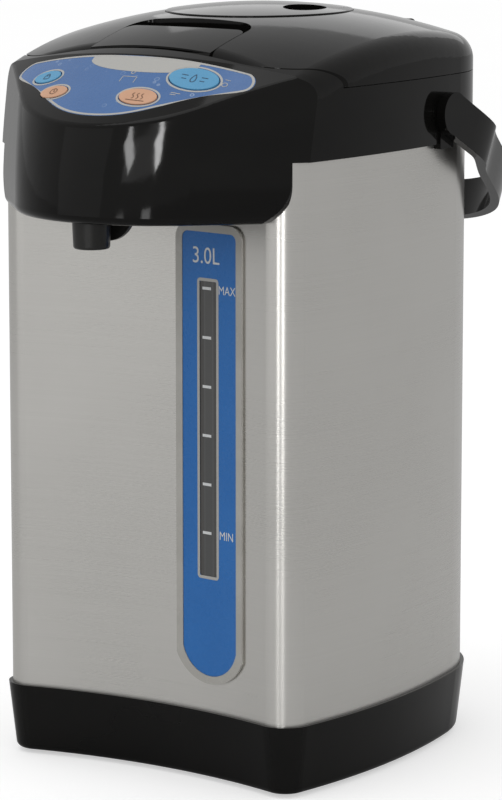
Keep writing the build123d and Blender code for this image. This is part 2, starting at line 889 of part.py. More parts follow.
with BuildPart() as nozzle:
    with BuildSketch(Plane.XZ.offset(-nozzle_y)):
        with BuildLine():
            Polyline(
                (0, nozzle_end), (nozzle_end_radius, nozzle_end),
                (nozzle_top_radius, nozzle_seat), (nozzle_flange, nozzle_seat),
                (nozzle_flange, nozzle_seat + 1.6), (0, nozzle_seat + 1.6),
                close=True,
            )
        make_face()
    revolve(axis=Axis((0, nozzle_y, 0), (0, 0, 1)))
    fillet(nozzle.edges().group_by(Axis.Z)[0], 1.2)
    add(slab((-20, 20), (lever_front - 1, lever_front + 20),
             (nozzle_seat - 1, nozzle_seat + 5)), mode=Mode.SUBTRACT)
    with BuildSketch(Plane.XY.offset(nozzle_end - 1)):
        with Locations((0, nozzle_y)):
            Circle(nozzle_bore)
    extrude(amount=nozzle_seat - 3 - nozzle_end, mode=Mode.SUBTRACT)
    with BuildSketch(Plane.XY.offset(nozzle_seat - 4.1)):
        with Locations((0, nozzle_y)):
            Circle(tube_radius + fit / 2)
    extrude(amount=10, mode=Mode.SUBTRACT)
write(nozzle, "nozzle")

# ================================================================ water gauge
with BuildPart() as gauge_bezel:
    add(on_front(gauge_shape(bezel_border), steel_inset - bezel_proud, steel_inset))
    add(on_front(gauge_shape(-gauge_tuck), steel_inset - 0.3, steel_inset + bezel_depth))
    add(on_front(gauge_shape(), steel_inset - bezel_proud - 1, steel_inset - label_rest),
        mode=Mode.SUBTRACT)
    add(on_front(window_shape(), -5, steel_inset + 10), mode=Mode.SUBTRACT)
    for sleeve_z in (tube_low, tube_high):
        with BuildSketch(Plane.XY.offset(sleeve_z - sleeve_half - 1)):
            with Locations((window_x, tube_y)):
                Circle(tube_radius + sleeve_wall + seam)
        extrude(amount=2 * sleeve_half + 2, mode=Mode.SUBTRACT)
write(gauge_bezel, "gauge_bezel")

with BuildPart() as gauge_label:
    add(on_front(gauge_shape(-fit), steel_inset - bezel_proud + 0.35,
                 steel_inset - label_rest - glue))
    add(on_front(window_shape(), -5, steel_inset + 10), mode=Mode.SUBTRACT)
write(gauge_label, "gauge_label")

with BuildPart() as gauge_window:
    add(on_front(window_shape(-fit), steel_inset - bezel_proud + 0.6,
                 steel_inset + bezel_depth - 0.4))
write(gauge_window, "gauge_window")

# ================================================================ shoulder: collar and spout head
with BuildPart() as collar_block:
    add(prism(body_outline(-collar_inset, pushed), steel_top, crown_top + 10))
    add(crown_block(), mode=Mode.INTERSECT)
    fillet(collar_block.faces().sort_by(Axis.Z)[-1].edges(), lid_edge_round)

with BuildPart() as bowl:
    add(prism(body_outline(-collar_inset - shell_wall, pushed), deck_z, crown_top + 10))
    add(crown_block(shell_wall), mode=Mode.INTERSECT)
    fillet(bowl.faces().sort_by(Axis.Z)[-1].edges(), lid_edge_round - shell_wall)
    add(prow(-shell_wall), mode=Mode.INTERSECT)
    add(slope_block(shell_wall), mode=Mode.INTERSECT)
    add(lid_region(shell_wall, shell_wall), mode=Mode.SUBTRACT)

with BuildPart() as bowl_mouth:
    add(prism(body_outline(-collar_inset - shell_wall, pushed), deck_z + 5, seam_z))
    with BuildSketch(Plane.XY.offset(deck_z)):
        with Locations((0, lid_front + rim_ledge + 100)):
            RectangleRounded(2 * half_width + 20, 200, lid_corner)
    extrude(amount=60, mode=Mode.INTERSECT)

with BuildPart() as head_space:
    add(slab((-head_hollow, head_hollow), (-140, head_rear), (underside_z + plate, crown_top)))
    add(prow(-shell_wall), mode=Mode.INTERSECT)
    add(crown_block(shell_wall), mode=Mode.INTERSECT)
    add(slope_block(shell_wall), mode=Mode.INTERSECT)
    add(prism(body_outline(-collar_inset, pushed), steel_top, crown_top + 10),
        mode=Mode.SUBTRACT)
    add(lid_region(shell_wall, shell_wall), mode=Mode.SUBTRACT)

with BuildPart() as head_mouth:
    add(slab((-head_hollow, head_hollow), (-140, head_rear), (head_bottom, underside_z + plate)))
    add(prow(-head_rim), mode=Mode.INTERSECT)


def bracket_view(grow=0.0):
    """Side view of one hinge bracket."""
    wall_y = back_y - collar_inset - shell_wall - grow
    with BuildSketch() as view:
        with BuildLine():
            Polyline(
                (wall_y, bracket_low), (wall_y + shell_wall, bracket_low),
                (max(hinge_y, wall_y) + hinge_radius, hinge_z), (wall_y, hinge_z), close=True,
            )
        make_face()
        with Locations((hinge_y, hinge_z)):
            Circle(hinge_radius)
    return view.sketch


with BuildPart() as panel_recess:
    add(prism(panel_shape(), seam_z - 60, crown_top))
    add(slope_block(film), mode=Mode.SUBTRACT)

with BuildPart() as prow_block:
    add(prow())
    bottom_edges = prow_block.faces().sort_by(Axis.Z)[0].edges()
    fillet(bottom_edges.filter_by_position(Axis.Y, -140, 0), head_round)

with BuildPart() as shoulder:
    add(slab((-head_half, head_half), (-140, head_rear), (head_bottom, crown_top)))
    add(prism(body_outline(-collar_inset, pushed), head_bottom, steel_top + 1))
    with BuildSketch(Plane.XZ.offset(-lid_front)):
        with Locations((0, crown_top)):
            Rectangle(4 * half_width, 2 * (crown_top - steel_top))
        with Locations((0, head_bottom - skirt_drop + 30)):
            RectangleRounded(2 * skirt_half, 60, skirt_round)
    extrude(amount=250, both=True, mode=Mode.INTERSECT)
    add(slab((-150, 150), (skirt_y, 150), (head_bottom - 1, steel_top)), mode=Mode.SUBTRACT)
    add(crown_block(), mode=Mode.INTERSECT)
    add(collar_block.part)
    add(slope_block(), mode=Mode.INTERSECT)
    add(prow_block.part, mode=Mode.INTERSECT)
    slope_face = shoulder.faces().sort_by_distance(panel_place(0, 15).origin)[0]
    fillet(slope_face.edges().filter_by_position(Axis.Y, -140, crease_y - 1), crease_round)
    add(prism(body_outline(-steel_inset + fit), head_bottom - 1, steel_top), mode=Mode.SUBTRACT)
    add(head_space.part, mode=Mode.SUBTRACT)
    add(head_mouth.part, mode=Mode.SUBTRACT)
    add(bowl.part, mode=Mode.SUBTRACT)
    add(bowl_mouth.part, mode=Mode.SUBTRACT)
    add(lid_region(), mode=Mode.SUBTRACT)
    with BuildSketch(Plane.XY.offset(steel_top - 1)):
        with Locations((0, vessel_y)):
            Circle(vessel_outer + fit)
    extrude(amount=deck_z - steel_top + 2, mode=Mode.SUBTRACT)
    with BuildSketch(Plane.XY.offset(steel_top - locating_skirt)):
        add(body_outline(-steel_inset - steel_wall - fit))
        add(body_outline(-steel_inset - steel_wall - fit - plate), mode=Mode.SUBTRACT)
        with Locations((0, -100)):
            Rectangle(2 * head_port + 2, 100, mode=Mode.SUBTRACT)
        with Locations((0, vessel_y)):
            Circle(vessel_outer + insulation_thick + 2 * seam, mode=Mode.SUBTRACT)
    extrude(amount=locating_skirt)
    for side in (1, -1):
        with BuildSketch(Plane.YZ.offset(side * (knuckle_half + seam))):
            add(bracket_view())
            with Locations((hinge_y, hinge_z)):
                Circle(hinge_pin_radius + fit / 2, mode=Mode.SUBTRACT)
        extrude(amount=side * (hinge_half - knuckle_half - seam))
        with BuildSketch(Plane.YZ.offset(side * (half_width - 10))):
            with Locations((pivot_y, pivot_z)):
                Circle(handle_pin + fit)
        extrude(amount=side * 20, mode=Mode.SUBTRACT)
    for across, along, half_long, half_wide in keys.values():
        add(on_panel(oval(half_long + seam, half_wide + seam), across, along, -8, 5),
            mode=Mode.SUBTRACT)
    with BuildSketch(panel_place(0, 0, -board_depth)):
        with Locations(*board_pillars):
            Circle(2.2)
    extrude(amount=board_depth - film - 0.6)
    add(panel_recess.part, mode=Mode.SUBTRACT)
write(shoulder, "shoulder")

with BuildPart() as head_underside:
    add(slab((fit - head_hollow, head_hollow - fit), (-130, head_rear),
             (underside_z, underside_z + plate)))
    add(prow(-head_rim - fit), mode=Mode.INTERSECT)
    add(prism(body_outline(-steel_inset + 2 * fit), underside_z - 1, underside_z + 5),
        mode=Mode.SUBTRACT)
    add(on_front(gauge_shape(bezel_border + seam), steel_inset - bezel_proud - seam, steel_inset),
        mode=Mode.SUBTRACT)
    with BuildSketch(Plane.XY.offset(underside_z - 1)):
        with Locations((0, nozzle_y)):
            Circle(nozzle_top_radius + fit)
    extrude(amount=plate + 2, mode=Mode.SUBTRACT)
    add(
        slab((-lever_half - seam, lever_half + seam),
             (lever_front - 0.4, lever_front + lever_thick + 2.8), (underside_z - 1, nozzle_seat + 1)),
        mode=Mode.SUBTRACT,
    )
    for side in (1, -1):
        with BuildSketch(Plane.YZ.offset(side * (lever_half + seam + 0.2))):
            with Locations((lever_pin_y, lever_pin_z - 3)):
                Rectangle(2 * lever_barrel, 2 * (lever_pin_z - 3 - underside_z))
            with Locations((lever_pin_y, lever_pin_z)):
                Circle(lever_barrel)
                Circle(lever_pin_radius, mode=Mode.SUBTRACT)
        extrude(amount=side * 3)
    add(slab((-15, -5), (-86.3, -84), (nozzle_seat, 260.8)))
write(head_underside, "head_underside")

with BuildPart() as cup_lever:
    with BuildSketch(Plane.XZ.offset(-lever_front)):
        with Locations((0, lever_low + lever_radius)):
            Circle(lever_radius)
        with Locations((0, lever_pin_z - 20)):
            Rectangle(2 * lever_half, 40, mode=Mode.INTERSECT)
    extrude(amount=-lever_thick)
    with BuildSketch(Plane.YZ.offset(-lever_half)):
        with Locations((lever_pin_y, lever_pin_z)):
            Circle(lever_barrel)
    extrude(amount=2 * lever_half)
    add(slab((-14, -4), (lever_pin_y, lever_pin_y + 9.7), (lever_pin_z - 0.9, lever_pin_z + 0.7)))
    with BuildSketch(Plane.YZ.offset(-lever_half - 1)):
        with Locations((lever_pin_y, lever_pin_z)):
            Circle(lever_pin_radius + fit / 2)
    extrude(amount=2 * lever_half + 2, mode=Mode.SUBTRACT)
write(cup_lever, "cup_lever")

with BuildPart() as lever_pin:
    with BuildSketch(Plane.YZ.offset(-lever_half - 3.4)):
        with Locations((lever_pin_y, lever_pin_z)):
            Circle(lever_pin_radius)
    extrude(amount=2 * (lever_half + 3.4))
write(lever_pin, "lever_pin")

with BuildPart() as lever_switch:
    add(slab((-15, -5), (-97, -86.3), (254.8, 260.8)))
    with Locations((-10, -92, 253.9)):
        Cylinder(1, 1.5, align=(Align.CENTER, Align.CENTER, Align.MIN))
write(lever_switch, "lever_switch")

# ================================================================ control panel
with BuildPart() as control_panel:
    add(prism(panel_shape(-fit), seam_z - 60, crown_top))
    add(slope_block(fit), mode=Mode.INTERSECT)
    add(slope_block(film - glue), mode=Mode.SUBTRACT)
    for across, along, half_long, half_wide in keys.values():
        add(on_panel(oval(half_long + seam, half_wide + seam), across, along, -8, 5),
            mode=Mode.SUBTRACT)
write(control_panel, "control_panel")

board_plane = panel_place(0, 0, -board_depth)

with BuildPart() as control_board:
    with BuildSketch(board_plane):
        Polygon((-44, -5), (44, -5), (44, -14), (30, -27), (-30, -27), (-44, -14), align=None)
    extrude(amount=-1.6)
    with BuildSketch(board_plane):
        with Locations((-6, -14)):
            Rectangle(10, 7)
    extrude(amount=1.8)
write(control_board, "control_board")

switch_top = panel_radius - board_depth + switch_high

with BuildPart() as key_switches:
    for across, along, half_long, half_wide in keys.values():
        turn = across / panel_radius
        with BuildSketch(board_plane):
            with Locations(((switch_top + key_gap) * tan(turn), -along)):
                Rectangle(6, 6)
        extrude(amount=switch_high - 0.8)
        with BuildSketch(board_plane):
            with Locations(((switch_top + key_gap) * tan(turn), -along)):
                Circle(1.7)
        extrude(amount=switch_high)
write(key_switches, "key_switches")

for key_name, (across, along, half_long, half_wide) in keys.items():
    turn = across / panel_radius
    stem_end = (switch_top + key_gap) / cos(turn) - panel_radius
    flange_top = -shell_wall - key_drop
    with BuildPart() as key:
        add(on_panel(oval(half_long, half_wide), across, along, flange_top - 0.2, key_proud))
        fillet(key.edges().filter_by(GeomType.ELLIPSE).sort_by(Axis.Z)[-1], key_round)
        add(on_panel(oval(half_long + key_flange, half_wide + key_flange), across, along,
                     flange_top - 1.2, flange_top))
        add(on_panel(disc(2.5), across, along, stem_end, flange_top - 0.2))
    write(key, key_name)

# ================================================================ lid
lid_clear = lid_gap + lid_wall
with BuildPart() as lid_space:
    add(prism(body_outline(-lid_inset, pushed), seam_z - 1, crown_top + 10))
    add(crown_block(lid_wall), mode=Mode.INTERSECT)
    fillet(lid_space.faces().sort_by(Axis.Z)[-1].edges(), lid_edge_round - lid_wall)
    add(lid_region(-seam - lid_wall, -lid_clear), mode=Mode.INTERSECT)


def lid_opening(grow=0.0):
    """Plan of the open underside of the lid cover."""
    with BuildSketch() as plan:
        with Locations((0, lid_front + lid_clear + 100 - grow)):
            RectangleRounded(2 * half_width + 2 * grow, 200, lid_corner - lid_clear + grow)
        add(body_outline(-lid_inset + grow, pushed), mode=Mode.INTERSECT)
        for side in (1, -1):
            with Locations((side * (knuckle_half + hinge_half + seam) / 2, back_y)):
                Rectangle(hinge_half - knuckle_half + seam - 2 * grow, 10 - 2 * grow,
                          mode=Mode.SUBTRACT)
    return plan.sketch


def well_view(grow=0.0):
    """Plan of the latch well."""
    low = lid_front - 10
    with BuildSketch() as plan:
        with Locations((0, (recess_rear + grow + low) / 2)):
            Rectangle(2 * (latch_half + grow), recess_rear + grow - low)
        fillet(plan.vertices().group_by(Axis.Y)[-1], recess_corner + grow)
    return plan.sketch


with BuildPart() as lid_outer:
    add(collar_block.part)
    add(lid_region(-seam, -lid_gap), mode=Mode.INTERSECT)

hook_way = slab(
    (-hook_half - 2 * seam, hook_half + 2 * seam),
    (lid_front + rim_ledge - 0.7, hook_rear + 7), (seam_z - 1, latch_floor + 1),
)

with BuildPart() as lid_cover:
    add(lid_outer.part)
    add(lid_space.part, mode=Mode.SUBTRACT)
    add(prism(lid_opening(), seam_z - 1, seam_z + seam + lid_wall + 1), mode=Mode.SUBTRACT)
    with BuildSketch(Plane.XY.offset(vent_floor - plate)):
        with Locations((0, vent_y)):
            Circle(vent_radius + lid_wall)
    extrude(amount=20)
    add(prism(well_view(lid_wall), latch_floor - plate, crown_top))
    add(lid_outer.part, mode=Mode.INTERSECT)
    with BuildSketch(Plane.YZ.offset(-knuckle_half)):
        with Locations((hinge_y, hinge_z)):
            Circle(hinge_radius)
        Polygon(
            (back_y - lid_inset - 1, hinge_z - 8), (hinge_y - 3, hinge_z - 5),
            (hinge_y, hinge_z - hinge_radius), (hinge_y, hinge_z + hinge_radius - 0.6),
            (back_y - lid_inset - 1, hinge_z + 4), align=None,
        )
    extrude(amount=2 * knuckle_half)
    with BuildSketch(Plane.XY.offset(vent_floor)):
        with Locations((0, vent_y)):
            Circle(vent_radius)
    extrude(amount=20, mode=Mode.SUBTRACT)
    with BuildSketch(Plane.XY.offset(vent_floor - 5)):
        with Locations((0, vent_y)):
            Circle(hub_radius + 2 * seam)
        with Locations((vent_slot_x, vent_slot_y)):
            Circle(duct_radius - 1.5)
    extrude(amount=20, mode=Mode.SUBTRACT)
    add(prism(well_view(), latch_floor, crown_top + 5), mode=Mode.SUBTRACT)
    add(hook_way, mode=Mode.SUBTRACT)
    with BuildSketch(Plane.YZ.offset(-latch_half - lid_wall + 0.5)):
        with Locations((latch_pin_y, latch_pin_z)):
            Circle(latch_pin_radius + fit / 2)
    extrude(amount=2 * (latch_half + lid_wall) - 1, mode=Mode.SUBTRACT)
    with BuildSketch(Plane.YZ.offset(-knuckle_half - 1)):
        with Locations((hinge_y, hinge_z)):
            Circle(hinge_pin_radius + fit / 2)
    extrude(amount=2 * knuckle_half + 2, mode=Mode.SUBTRACT)
    for side in (1, -1):
        with BuildSketch(Plane.XY.offset(seam_z - 5)):
            with Locations((side * (knuckle_half + hinge_half + seam) / 2, back_y)):
                Rectangle(hinge_half - knuckle_half + seam, 10)
        extrude(amount=40, mode=Mode.SUBTRACT)
write(lid_cover, "lid_cover")

with BuildPart() as lid_pan:
    add(prism(lid_opening(-fit), pan_plate_z, pan_plate_z + plate))
    with BuildSketch(Plane.XY.offset(pan_bottom)):
        with Locations((0, vessel_y)):
            Circle(pan_radius)
    extrude(amount=pan_plate_z - pan_bottom)
    with BuildSketch(Plane.XY.offset(pan_bottom + 1.5)):
        with Locations((0, vessel_y)):
            Circle(pan_radius - 1.5)
    extrude(amount=60, mode=Mode.SUBTRACT)
    with BuildSketch(Plane.XY.offset(pan_bottom - 1)):
        with Locations((vent_slot_x, vent_slot_y)):
            Circle(duct_radius - 1.5)
    extrude(amount=5, mode=Mode.SUBTRACT)
    add(hook_way, mode=Mode.SUBTRACT)
write(lid_pan, "lid_pan")

with BuildPart() as lid_gasket:
    with BuildSketch(Plane.XY.offset(deck_z + 1 + seam)):
        with Locations((0, vessel_y)):
            Circle(gasket_radius)
            Circle(mouth_radius + 2, mode=Mode.SUBTRACT)
    extrude(amount=pan_bottom - deck_z - 1 - seam)
    fillet(lid_gasket.edges().group_by(Axis.Z)[0], 0.8)
write(lid_gasket, "lid_gasket")

with BuildPart() as steam_plate:
    steam_low = pan_bottom - 3.2
    with BuildSketch(Plane.XY.offset(steam_low)):
        with Locations((vent_slot_x, vent_slot_y)):
            Circle(steam_radius)
    extrude(amount=pan_bottom - steam_low)
    with BuildSketch(Plane.XY.offset(steam_low + 1)):
        with Locations((vent_slot_x, vent_slot_y)):
            Circle(steam_radius - 1.5)
            with PolarLocations(steam_radius, 8, start_angle=10):
                Rectangle(8, 6)
    extrude(amount=pan_bottom - steam_low - 1.4, mode=Mode.SUBTRACT)
    with BuildSketch(Plane.XY.offset(pan_bottom - 1)):
        with Locations((vent_slot_x, vent_slot_y)):
            Circle(duct_radius - 1.5)
    extrude(amount=2, mode=Mode.SUBTRACT)
write(steam_plate, "steam_plate")

with BuildPart() as vent_duct:
    with BuildSketch(Plane.XY.offset(pan_bottom + 1.5)):
        with Locations((vent_slot_x, vent_slot_y)):
            Circle(duct_radius)
            Circle(duct_radius - 1.5, mode=Mode.SUBTRACT)
    extrude(amount=vent_floor - plate - pan_bottom - 1.5)
write(vent_duct, "vent_duct")

# ---------------------------------------------------------------- steam vent cap
with BuildPart() as cap_hollow:
    with BuildSketch(Plane.XY.offset(vent_floor)):
        with Locations((0, vent_y)):
            Circle(vent_radius - seam - lid_wall)
            Circle(hub_radius, mode=Mode.SUBTRACT)
        with Locations((vent_slot_x, vent_slot_y)):
            Ellipse(vent_slot_half + 1.2, vent_slot_long + 1.2, mode=Mode.SUBTRACT)
    extrude(amount=20)
    add(crown_block(lid_wall), mode=Mode.INTERSECT)

with BuildPart() as vent_cap:
    with BuildSketch(Plane.XY.offset(vent_floor + seam)):
        with Locations((0, vent_y)):
            Circle(vent_radius - seam)
    extrude(amount=20)
    add(crown_block(-vent_proud), mode=Mode.INTERSECT)
    fillet(vent_cap.faces().sort_by(Axis.Z)[-1].edges(), vent_proud)
    add(cap_hollow.part, mode=Mode.SUBTRACT)
    with BuildSketch(Plane.XY.offset(vent_floor - 3)):
        with Locations((0, vent_y)):
            Circle(hub_radius)
    extrude(amount=6)
    with BuildSketch(Plane.XY.offset(vent_floor)):
        with Locations((vent_slot_x, vent_slot_y)):
            Ellipse(vent_slot_half - 1, vent_slot_long - 1)
    extrude(amount=20, mode=Mode.SUBTRACT)
    with BuildSketch(Plane.XY.offset(grille_z)):
        with Locations((vent_slot_x, vent_slot_y)):
            Ellipse(vent_slot_half, vent_slot_long)
    extrude(amount=20, mode=Mode.SUBTRACT)
write(vent_cap, "vent_cap")

with BuildPart() as vent_grille:
    with BuildSketch(Plane.XY.offset(grille_z)):
        with Locations((vent_slot_x, vent_slot_y)):
            Ellipse(vent_slot_half - fit, vent_slot_long - fit)
            with GridLocations(0, 3.6, 1, 5):
                SlotOverall(9, 1.8, mode=Mode.SUBTRACT)
    extrude(amount=1.5)
write(vent_grille, "vent_grille")

# ---------------------------------------------------------------- latch
flap_half = latch_half - seam
with BuildPart() as latch_flap:
    with BuildSketch(Plane.XY.offset(latch_pin_z)) as flap_plan:
        with Locations((0, (latch_front + latch_rear) / 2)):
            Rectangle(2 * flap_half, latch_rear - latch_front)
        with Locations((0, latch_rear - latch_dip + latch_scoop)):
            Circle(latch_scoop, mode=Mode.SUBTRACT)
        rear_corners = flap_plan.vertices().filter_by_position(Axis.Y, latch_rear - 2, latch_rear + 1)
        fillet(rear_corners, latch_corner)
    extrude(amount=30)
    add(crown_block(), mode=Mode.INTERSECT)
    add(crown_block(shell_wall), mode=Mode.SUBTRACT)
    with BuildSketch(Plane.YZ.offset(-flap_half)):
        with Locations((latch_pin_y, latch_pin_z)):
            Circle(latch_barrel)
    extrude(amount=2 * flap_half)
    add(slab((-hook_half, hook_half), (hook_rear - hook_thick, hook_rear), (hook_low, latch_pin_z)))
    add(slab((-hook_half, hook_half), (hook_rear - hook_thick - hook_reach, hook_rear),
             (hook_low, hook_low + hook_thick)))
    with BuildSketch(Plane.YZ.offset(-flap_half - 1)):
        with Locations((latch_pin_y, latch_pin_z)):
            Circle(latch_pin_radius + fit / 2)
    extrude(amount=2 * flap_half + 2, mode=Mode.SUBTRACT)
write(latch_flap, "latch_flap")

with BuildPart() as latch_pin:
    with BuildSketch(Plane.YZ.offset(-latch_half - lid_wall + 0.7)):
        with Locations((latch_pin_y, latch_pin_z)):
            Circle(latch_pin_radius)
    extrude(amount=2 * (latch_half + lid_wall) - 1.4)
write(latch_pin, "latch_pin")

with BuildPart() as hinge_pin:
    with BuildSketch(Plane.YZ.offset(-hinge_half)):
        with Locations((hinge_y, hinge_z)):
            Circle(hinge_pin_radius)
    extrude(amount=2 * hinge_half)
write(hinge_pin, "hinge_pin")

# ================================================================ handle
rest = radians(handle_rest)
bail_plane = Plane(
    origin=(0, pivot_y, pivot_z), x_dir=(1, 0, 0), z_dir=(0, sin(rest), cos(rest))
)


def bail_view():
    """The strap seen square on: two straight arms joined by a rounded loop."""
    outer_x = handle_x + handle_thick
    loop = [(x * outer_x, y * handle_reach) for x, y in reversed(handle_curve)]
    turns = [(0, handle_reach), *loop, (outer_x, handle_straight)]
    with BuildSketch() as view:
        with BuildLine():
            outer = Spline(*turns, tangents=[(1, 0), (0, -1)])
            inside = []
            for step in range(13):
                place = outer @ (step / 12)
                way = outer % (step / 12)
                inside.append((place.X + handle_thick * way.Y, place.Y - handle_thick * way.X))
            inner = Spline(*inside, tangents=[(1, 0), (0, -1)])
            Polyline(outer @ 1, (outer_x, 0), (handle_x, 0), inner @ 1)
            mirror(about=Plane.YZ)
        make_face()
    return view.sketch


with BuildPart() as handle:
    with BuildSketch(bail_plane):
        add(bail_view())
    extrude(amount=handle_width / 2, both=True)
    for side in (1, -1):
        with BuildSketch(Plane.YZ.offset(side * handle_x)):
            with Locations((pivot_y, pivot_z)):
                Circle(boss_radius)
        extrude(amount=side * handle_thick)
    for side in (1, -1):
        with BuildSketch(Plane.YZ.offset(side * (handle_x - 1))):
            with Locations((pivot_y, pivot_z)):
                Circle(handle_pin + fit / 2)
        extrude(amount=side * (handle_thick - 0.2), mode=Mode.SUBTRACT)
write(handle, "handle")

with BuildPart() as handle_mounts:
    for side in (1, -1):
        with BuildSketch(Plane.YZ.offset(side * (handle_x - 5))):
            with Locations((pivot_y, pivot_z)):
                Circle(boss_radius)
            with Locations((pivot_y, (pivot_z + mount_low) / 2)):
                Rectangle(2 * mount_tab, pivot_z - mount_low)
            with Locations((pivot_y, pivot_z)):
                Circle(handle_pin + fit / 2, mode=Mode.SUBTRACT)
        extrude(amount=side * (5 - seam))
    add(prism(body_outline(-collar_inset + fit / 2, pushed), steel_top - 0.1, seam_z),
        mode=Mode.SUBTRACT)
    add(prism(body_outline(-steel_inset + fit / 2), mount_low - 1, steel_top),
        mode=Mode.SUBTRACT)
write(handle_mounts, "handle_mounts")

with BuildPart() as handle_pins:
    for side in (1, -1):
        with BuildSketch(Plane.YZ.offset(side * pin_inner_x)):
            with Locations((pivot_y, pivot_z)):
                Circle(handle_pin)
        extrude(amount=side * (handle_x + handle_thick - 1.5 - pin_inner_x))
        with BuildSketch(Plane.YZ.offset(side * pin_inner_x)):
            with Locations((pivot_y, pivot_z)):
                Circle(handle_pin + 3)
        extrude(amount=side * 1.8)
write(handle_pins, "handle_pins")
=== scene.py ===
import json
from math import cos, pi, radians, sin

import bpy
import numpy as np
from mathutils import Euler, Matrix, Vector
from mathutils.geometry import convex_hull_2d


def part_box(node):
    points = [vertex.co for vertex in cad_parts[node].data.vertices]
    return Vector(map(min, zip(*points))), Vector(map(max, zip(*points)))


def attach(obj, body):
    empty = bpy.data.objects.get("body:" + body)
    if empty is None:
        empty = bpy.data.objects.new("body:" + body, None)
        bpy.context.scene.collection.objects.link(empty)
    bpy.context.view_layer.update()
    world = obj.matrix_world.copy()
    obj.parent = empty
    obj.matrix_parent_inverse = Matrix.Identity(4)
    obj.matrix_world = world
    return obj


# The looks of an electric thermo pot: gloss black mouldings, brushed steel sides, a blue
# water gauge and a blue control panel.  Metres, +Z up, front towards -Y.

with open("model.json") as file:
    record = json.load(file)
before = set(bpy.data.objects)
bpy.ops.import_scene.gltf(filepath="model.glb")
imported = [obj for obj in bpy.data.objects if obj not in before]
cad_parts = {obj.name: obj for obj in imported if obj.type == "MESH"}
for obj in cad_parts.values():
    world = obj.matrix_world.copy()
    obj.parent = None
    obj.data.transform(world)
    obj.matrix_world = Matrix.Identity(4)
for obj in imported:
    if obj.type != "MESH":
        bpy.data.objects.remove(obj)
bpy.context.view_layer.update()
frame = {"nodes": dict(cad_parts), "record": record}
nodes = frame["nodes"]

# Front gauge: a hollow cylinder face that the label lies on
GAUGE_AXIS_Y = -0.31960
GAUGE_RADIUS = 0.24960
LABEL_BEHIND = 0.00095
WINDOW_BEHIND = 0.00120

# Level tube behind the window, painted into the window's colour as painted light: its middle,
# how far its two walls reach, the fade of their painted highlight, and the water in it, painted
# as shade
TUBE_X = 0.0302
TUBE_INSIDE = 0.0022
TUBE_OUTSIDE = 0.0030
WALL_OFF = 0.0023
WALL_HIGHLIGHT_FADE = 0.0006
WATER_TOP = 0.150
WATER_FADE = 0.001

# Control panel: part of a cylinder that slopes down to the front
SLOPE = radians(34.0)
PANEL_RADIUS = 0.240
PANEL_Y = -0.081
PANEL_Z = 0.30800
KEY_PROUD = 0.0004

# Crowned top of the lid
CROWN_TOP = 0.3264
CROWN_Y = 0.0143
CROWN_RADIUS_X = 0.275
CROWN_RADIUS_Y = 0.2655
VENT_PROUD = 0.0005

PRINT_LIFT = 0.00007


# ---------------------------------------------------------------- shader nodes
def fill(tree, socket, value):
    """Joins a socket to a value that is a socket too, or sets it; a bare colour is opaque."""
    if isinstance(value, bpy.types.NodeSocket):
        tree.links.new(value, socket)
    elif socket.type == "RGBA" and len(value) == 3:
        socket.default_value = (*value, 1)
    else:
        socket.default_value = value


def node(tree, kind, inputs, **settings):
    """One shader node with its settings made and its inputs filled."""
    made = tree.nodes.new(kind)
    for name, value in settings.items():
        setattr(made, name, value)
    for key, value in inputs.items():
        fill(tree, made.inputs[key], value)
    return made


def feed(tree, shader, **values):
    """Fills the shader's inputs, by name with _ for a space."""
    for key, value in values.items():
        fill(tree, shader.inputs[key.replace("_", " ")], value)


def new_finish(name):
    """An empty finish, its tree and its shader."""
    finish = bpy.data.materials.new(name)
    finish.use_nodes = True
    tree = finish.node_tree
    return finish, tree, tree.nodes["Principled BSDF"]


def place_of(tree, stretch=(1, 1, 1)):
    """Object coordinates, stretched."""
    place = node(tree, "ShaderNodeTexCoord", {}).outputs["Object"]
    return node(tree, "ShaderNodeMapping", {"Vector": place, "Scale": stretch}).outputs[0]


def noise(tree, scale, stretch=(1, 1, 1), detail=3.0, rough=0.5):
    """Cloudy noise from 0 to 1; scale is in waves per metre."""
    return node(
        tree, "ShaderNodeTexNoise",
        {"Vector": place_of(tree, stretch), "Scale": scale, "Detail": detail, "Roughness": rough},
    ).outputs["Fac"]


def cells(tree, scale):
    """Distance from the middle of the nearest cell; scale is in cells per metre."""
    return node(
        tree, "ShaderNodeTexVoronoi", {"Vector": place_of(tree), "Scale": scale}
    ).outputs["Distance"]


def spread(tree, value, low, high, start=0.3, end=0.7):
    """A value between start and end, carried to between low and high."""
    return node(
        tree, "ShaderNodeMapRange",
        {"Value": value, "From Min": start, "From Max": end, "To Min": low, "To Max": high},
    ).outputs[0]


def sums(tree, operation, first, second=0.0, third=0.0):
    """One sum on two or three values."""
    return node(
        tree, "ShaderNodeMath", {0: first, 1: second, 2: third}, operation=operation
    ).outputs[0]


def times(tree, first, second):
    """The product of two values."""
    return sums(tree, "MULTIPLY", first, second)


def away_from(tree, value, middle):
    """How far a value is from the middle, either way."""
    return sums(tree, "ABSOLUTE", sums(tree, "SUBTRACT", value, middle))


def between(tree, amount, first, second):
    """A colour between two others."""
    return node(
        tree, "ShaderNodeMix", {0: amount, 6: first, 7: second}, data_type="RGBA"
    ).outputs[2]


def relief(tree, shader, height, depth, under=None):
    """Raises the surface by height times depth, on top of an earlier relief."""
    inputs = {"Height": height, "Distance": depth, "Strength": 1.0}
    if under is not None:
        inputs["Normal"] = under
    raised = node(tree, "ShaderNodeBump", inputs).outputs[0]
    tree.links.new(raised, shader.inputs["Normal"])
    return raised


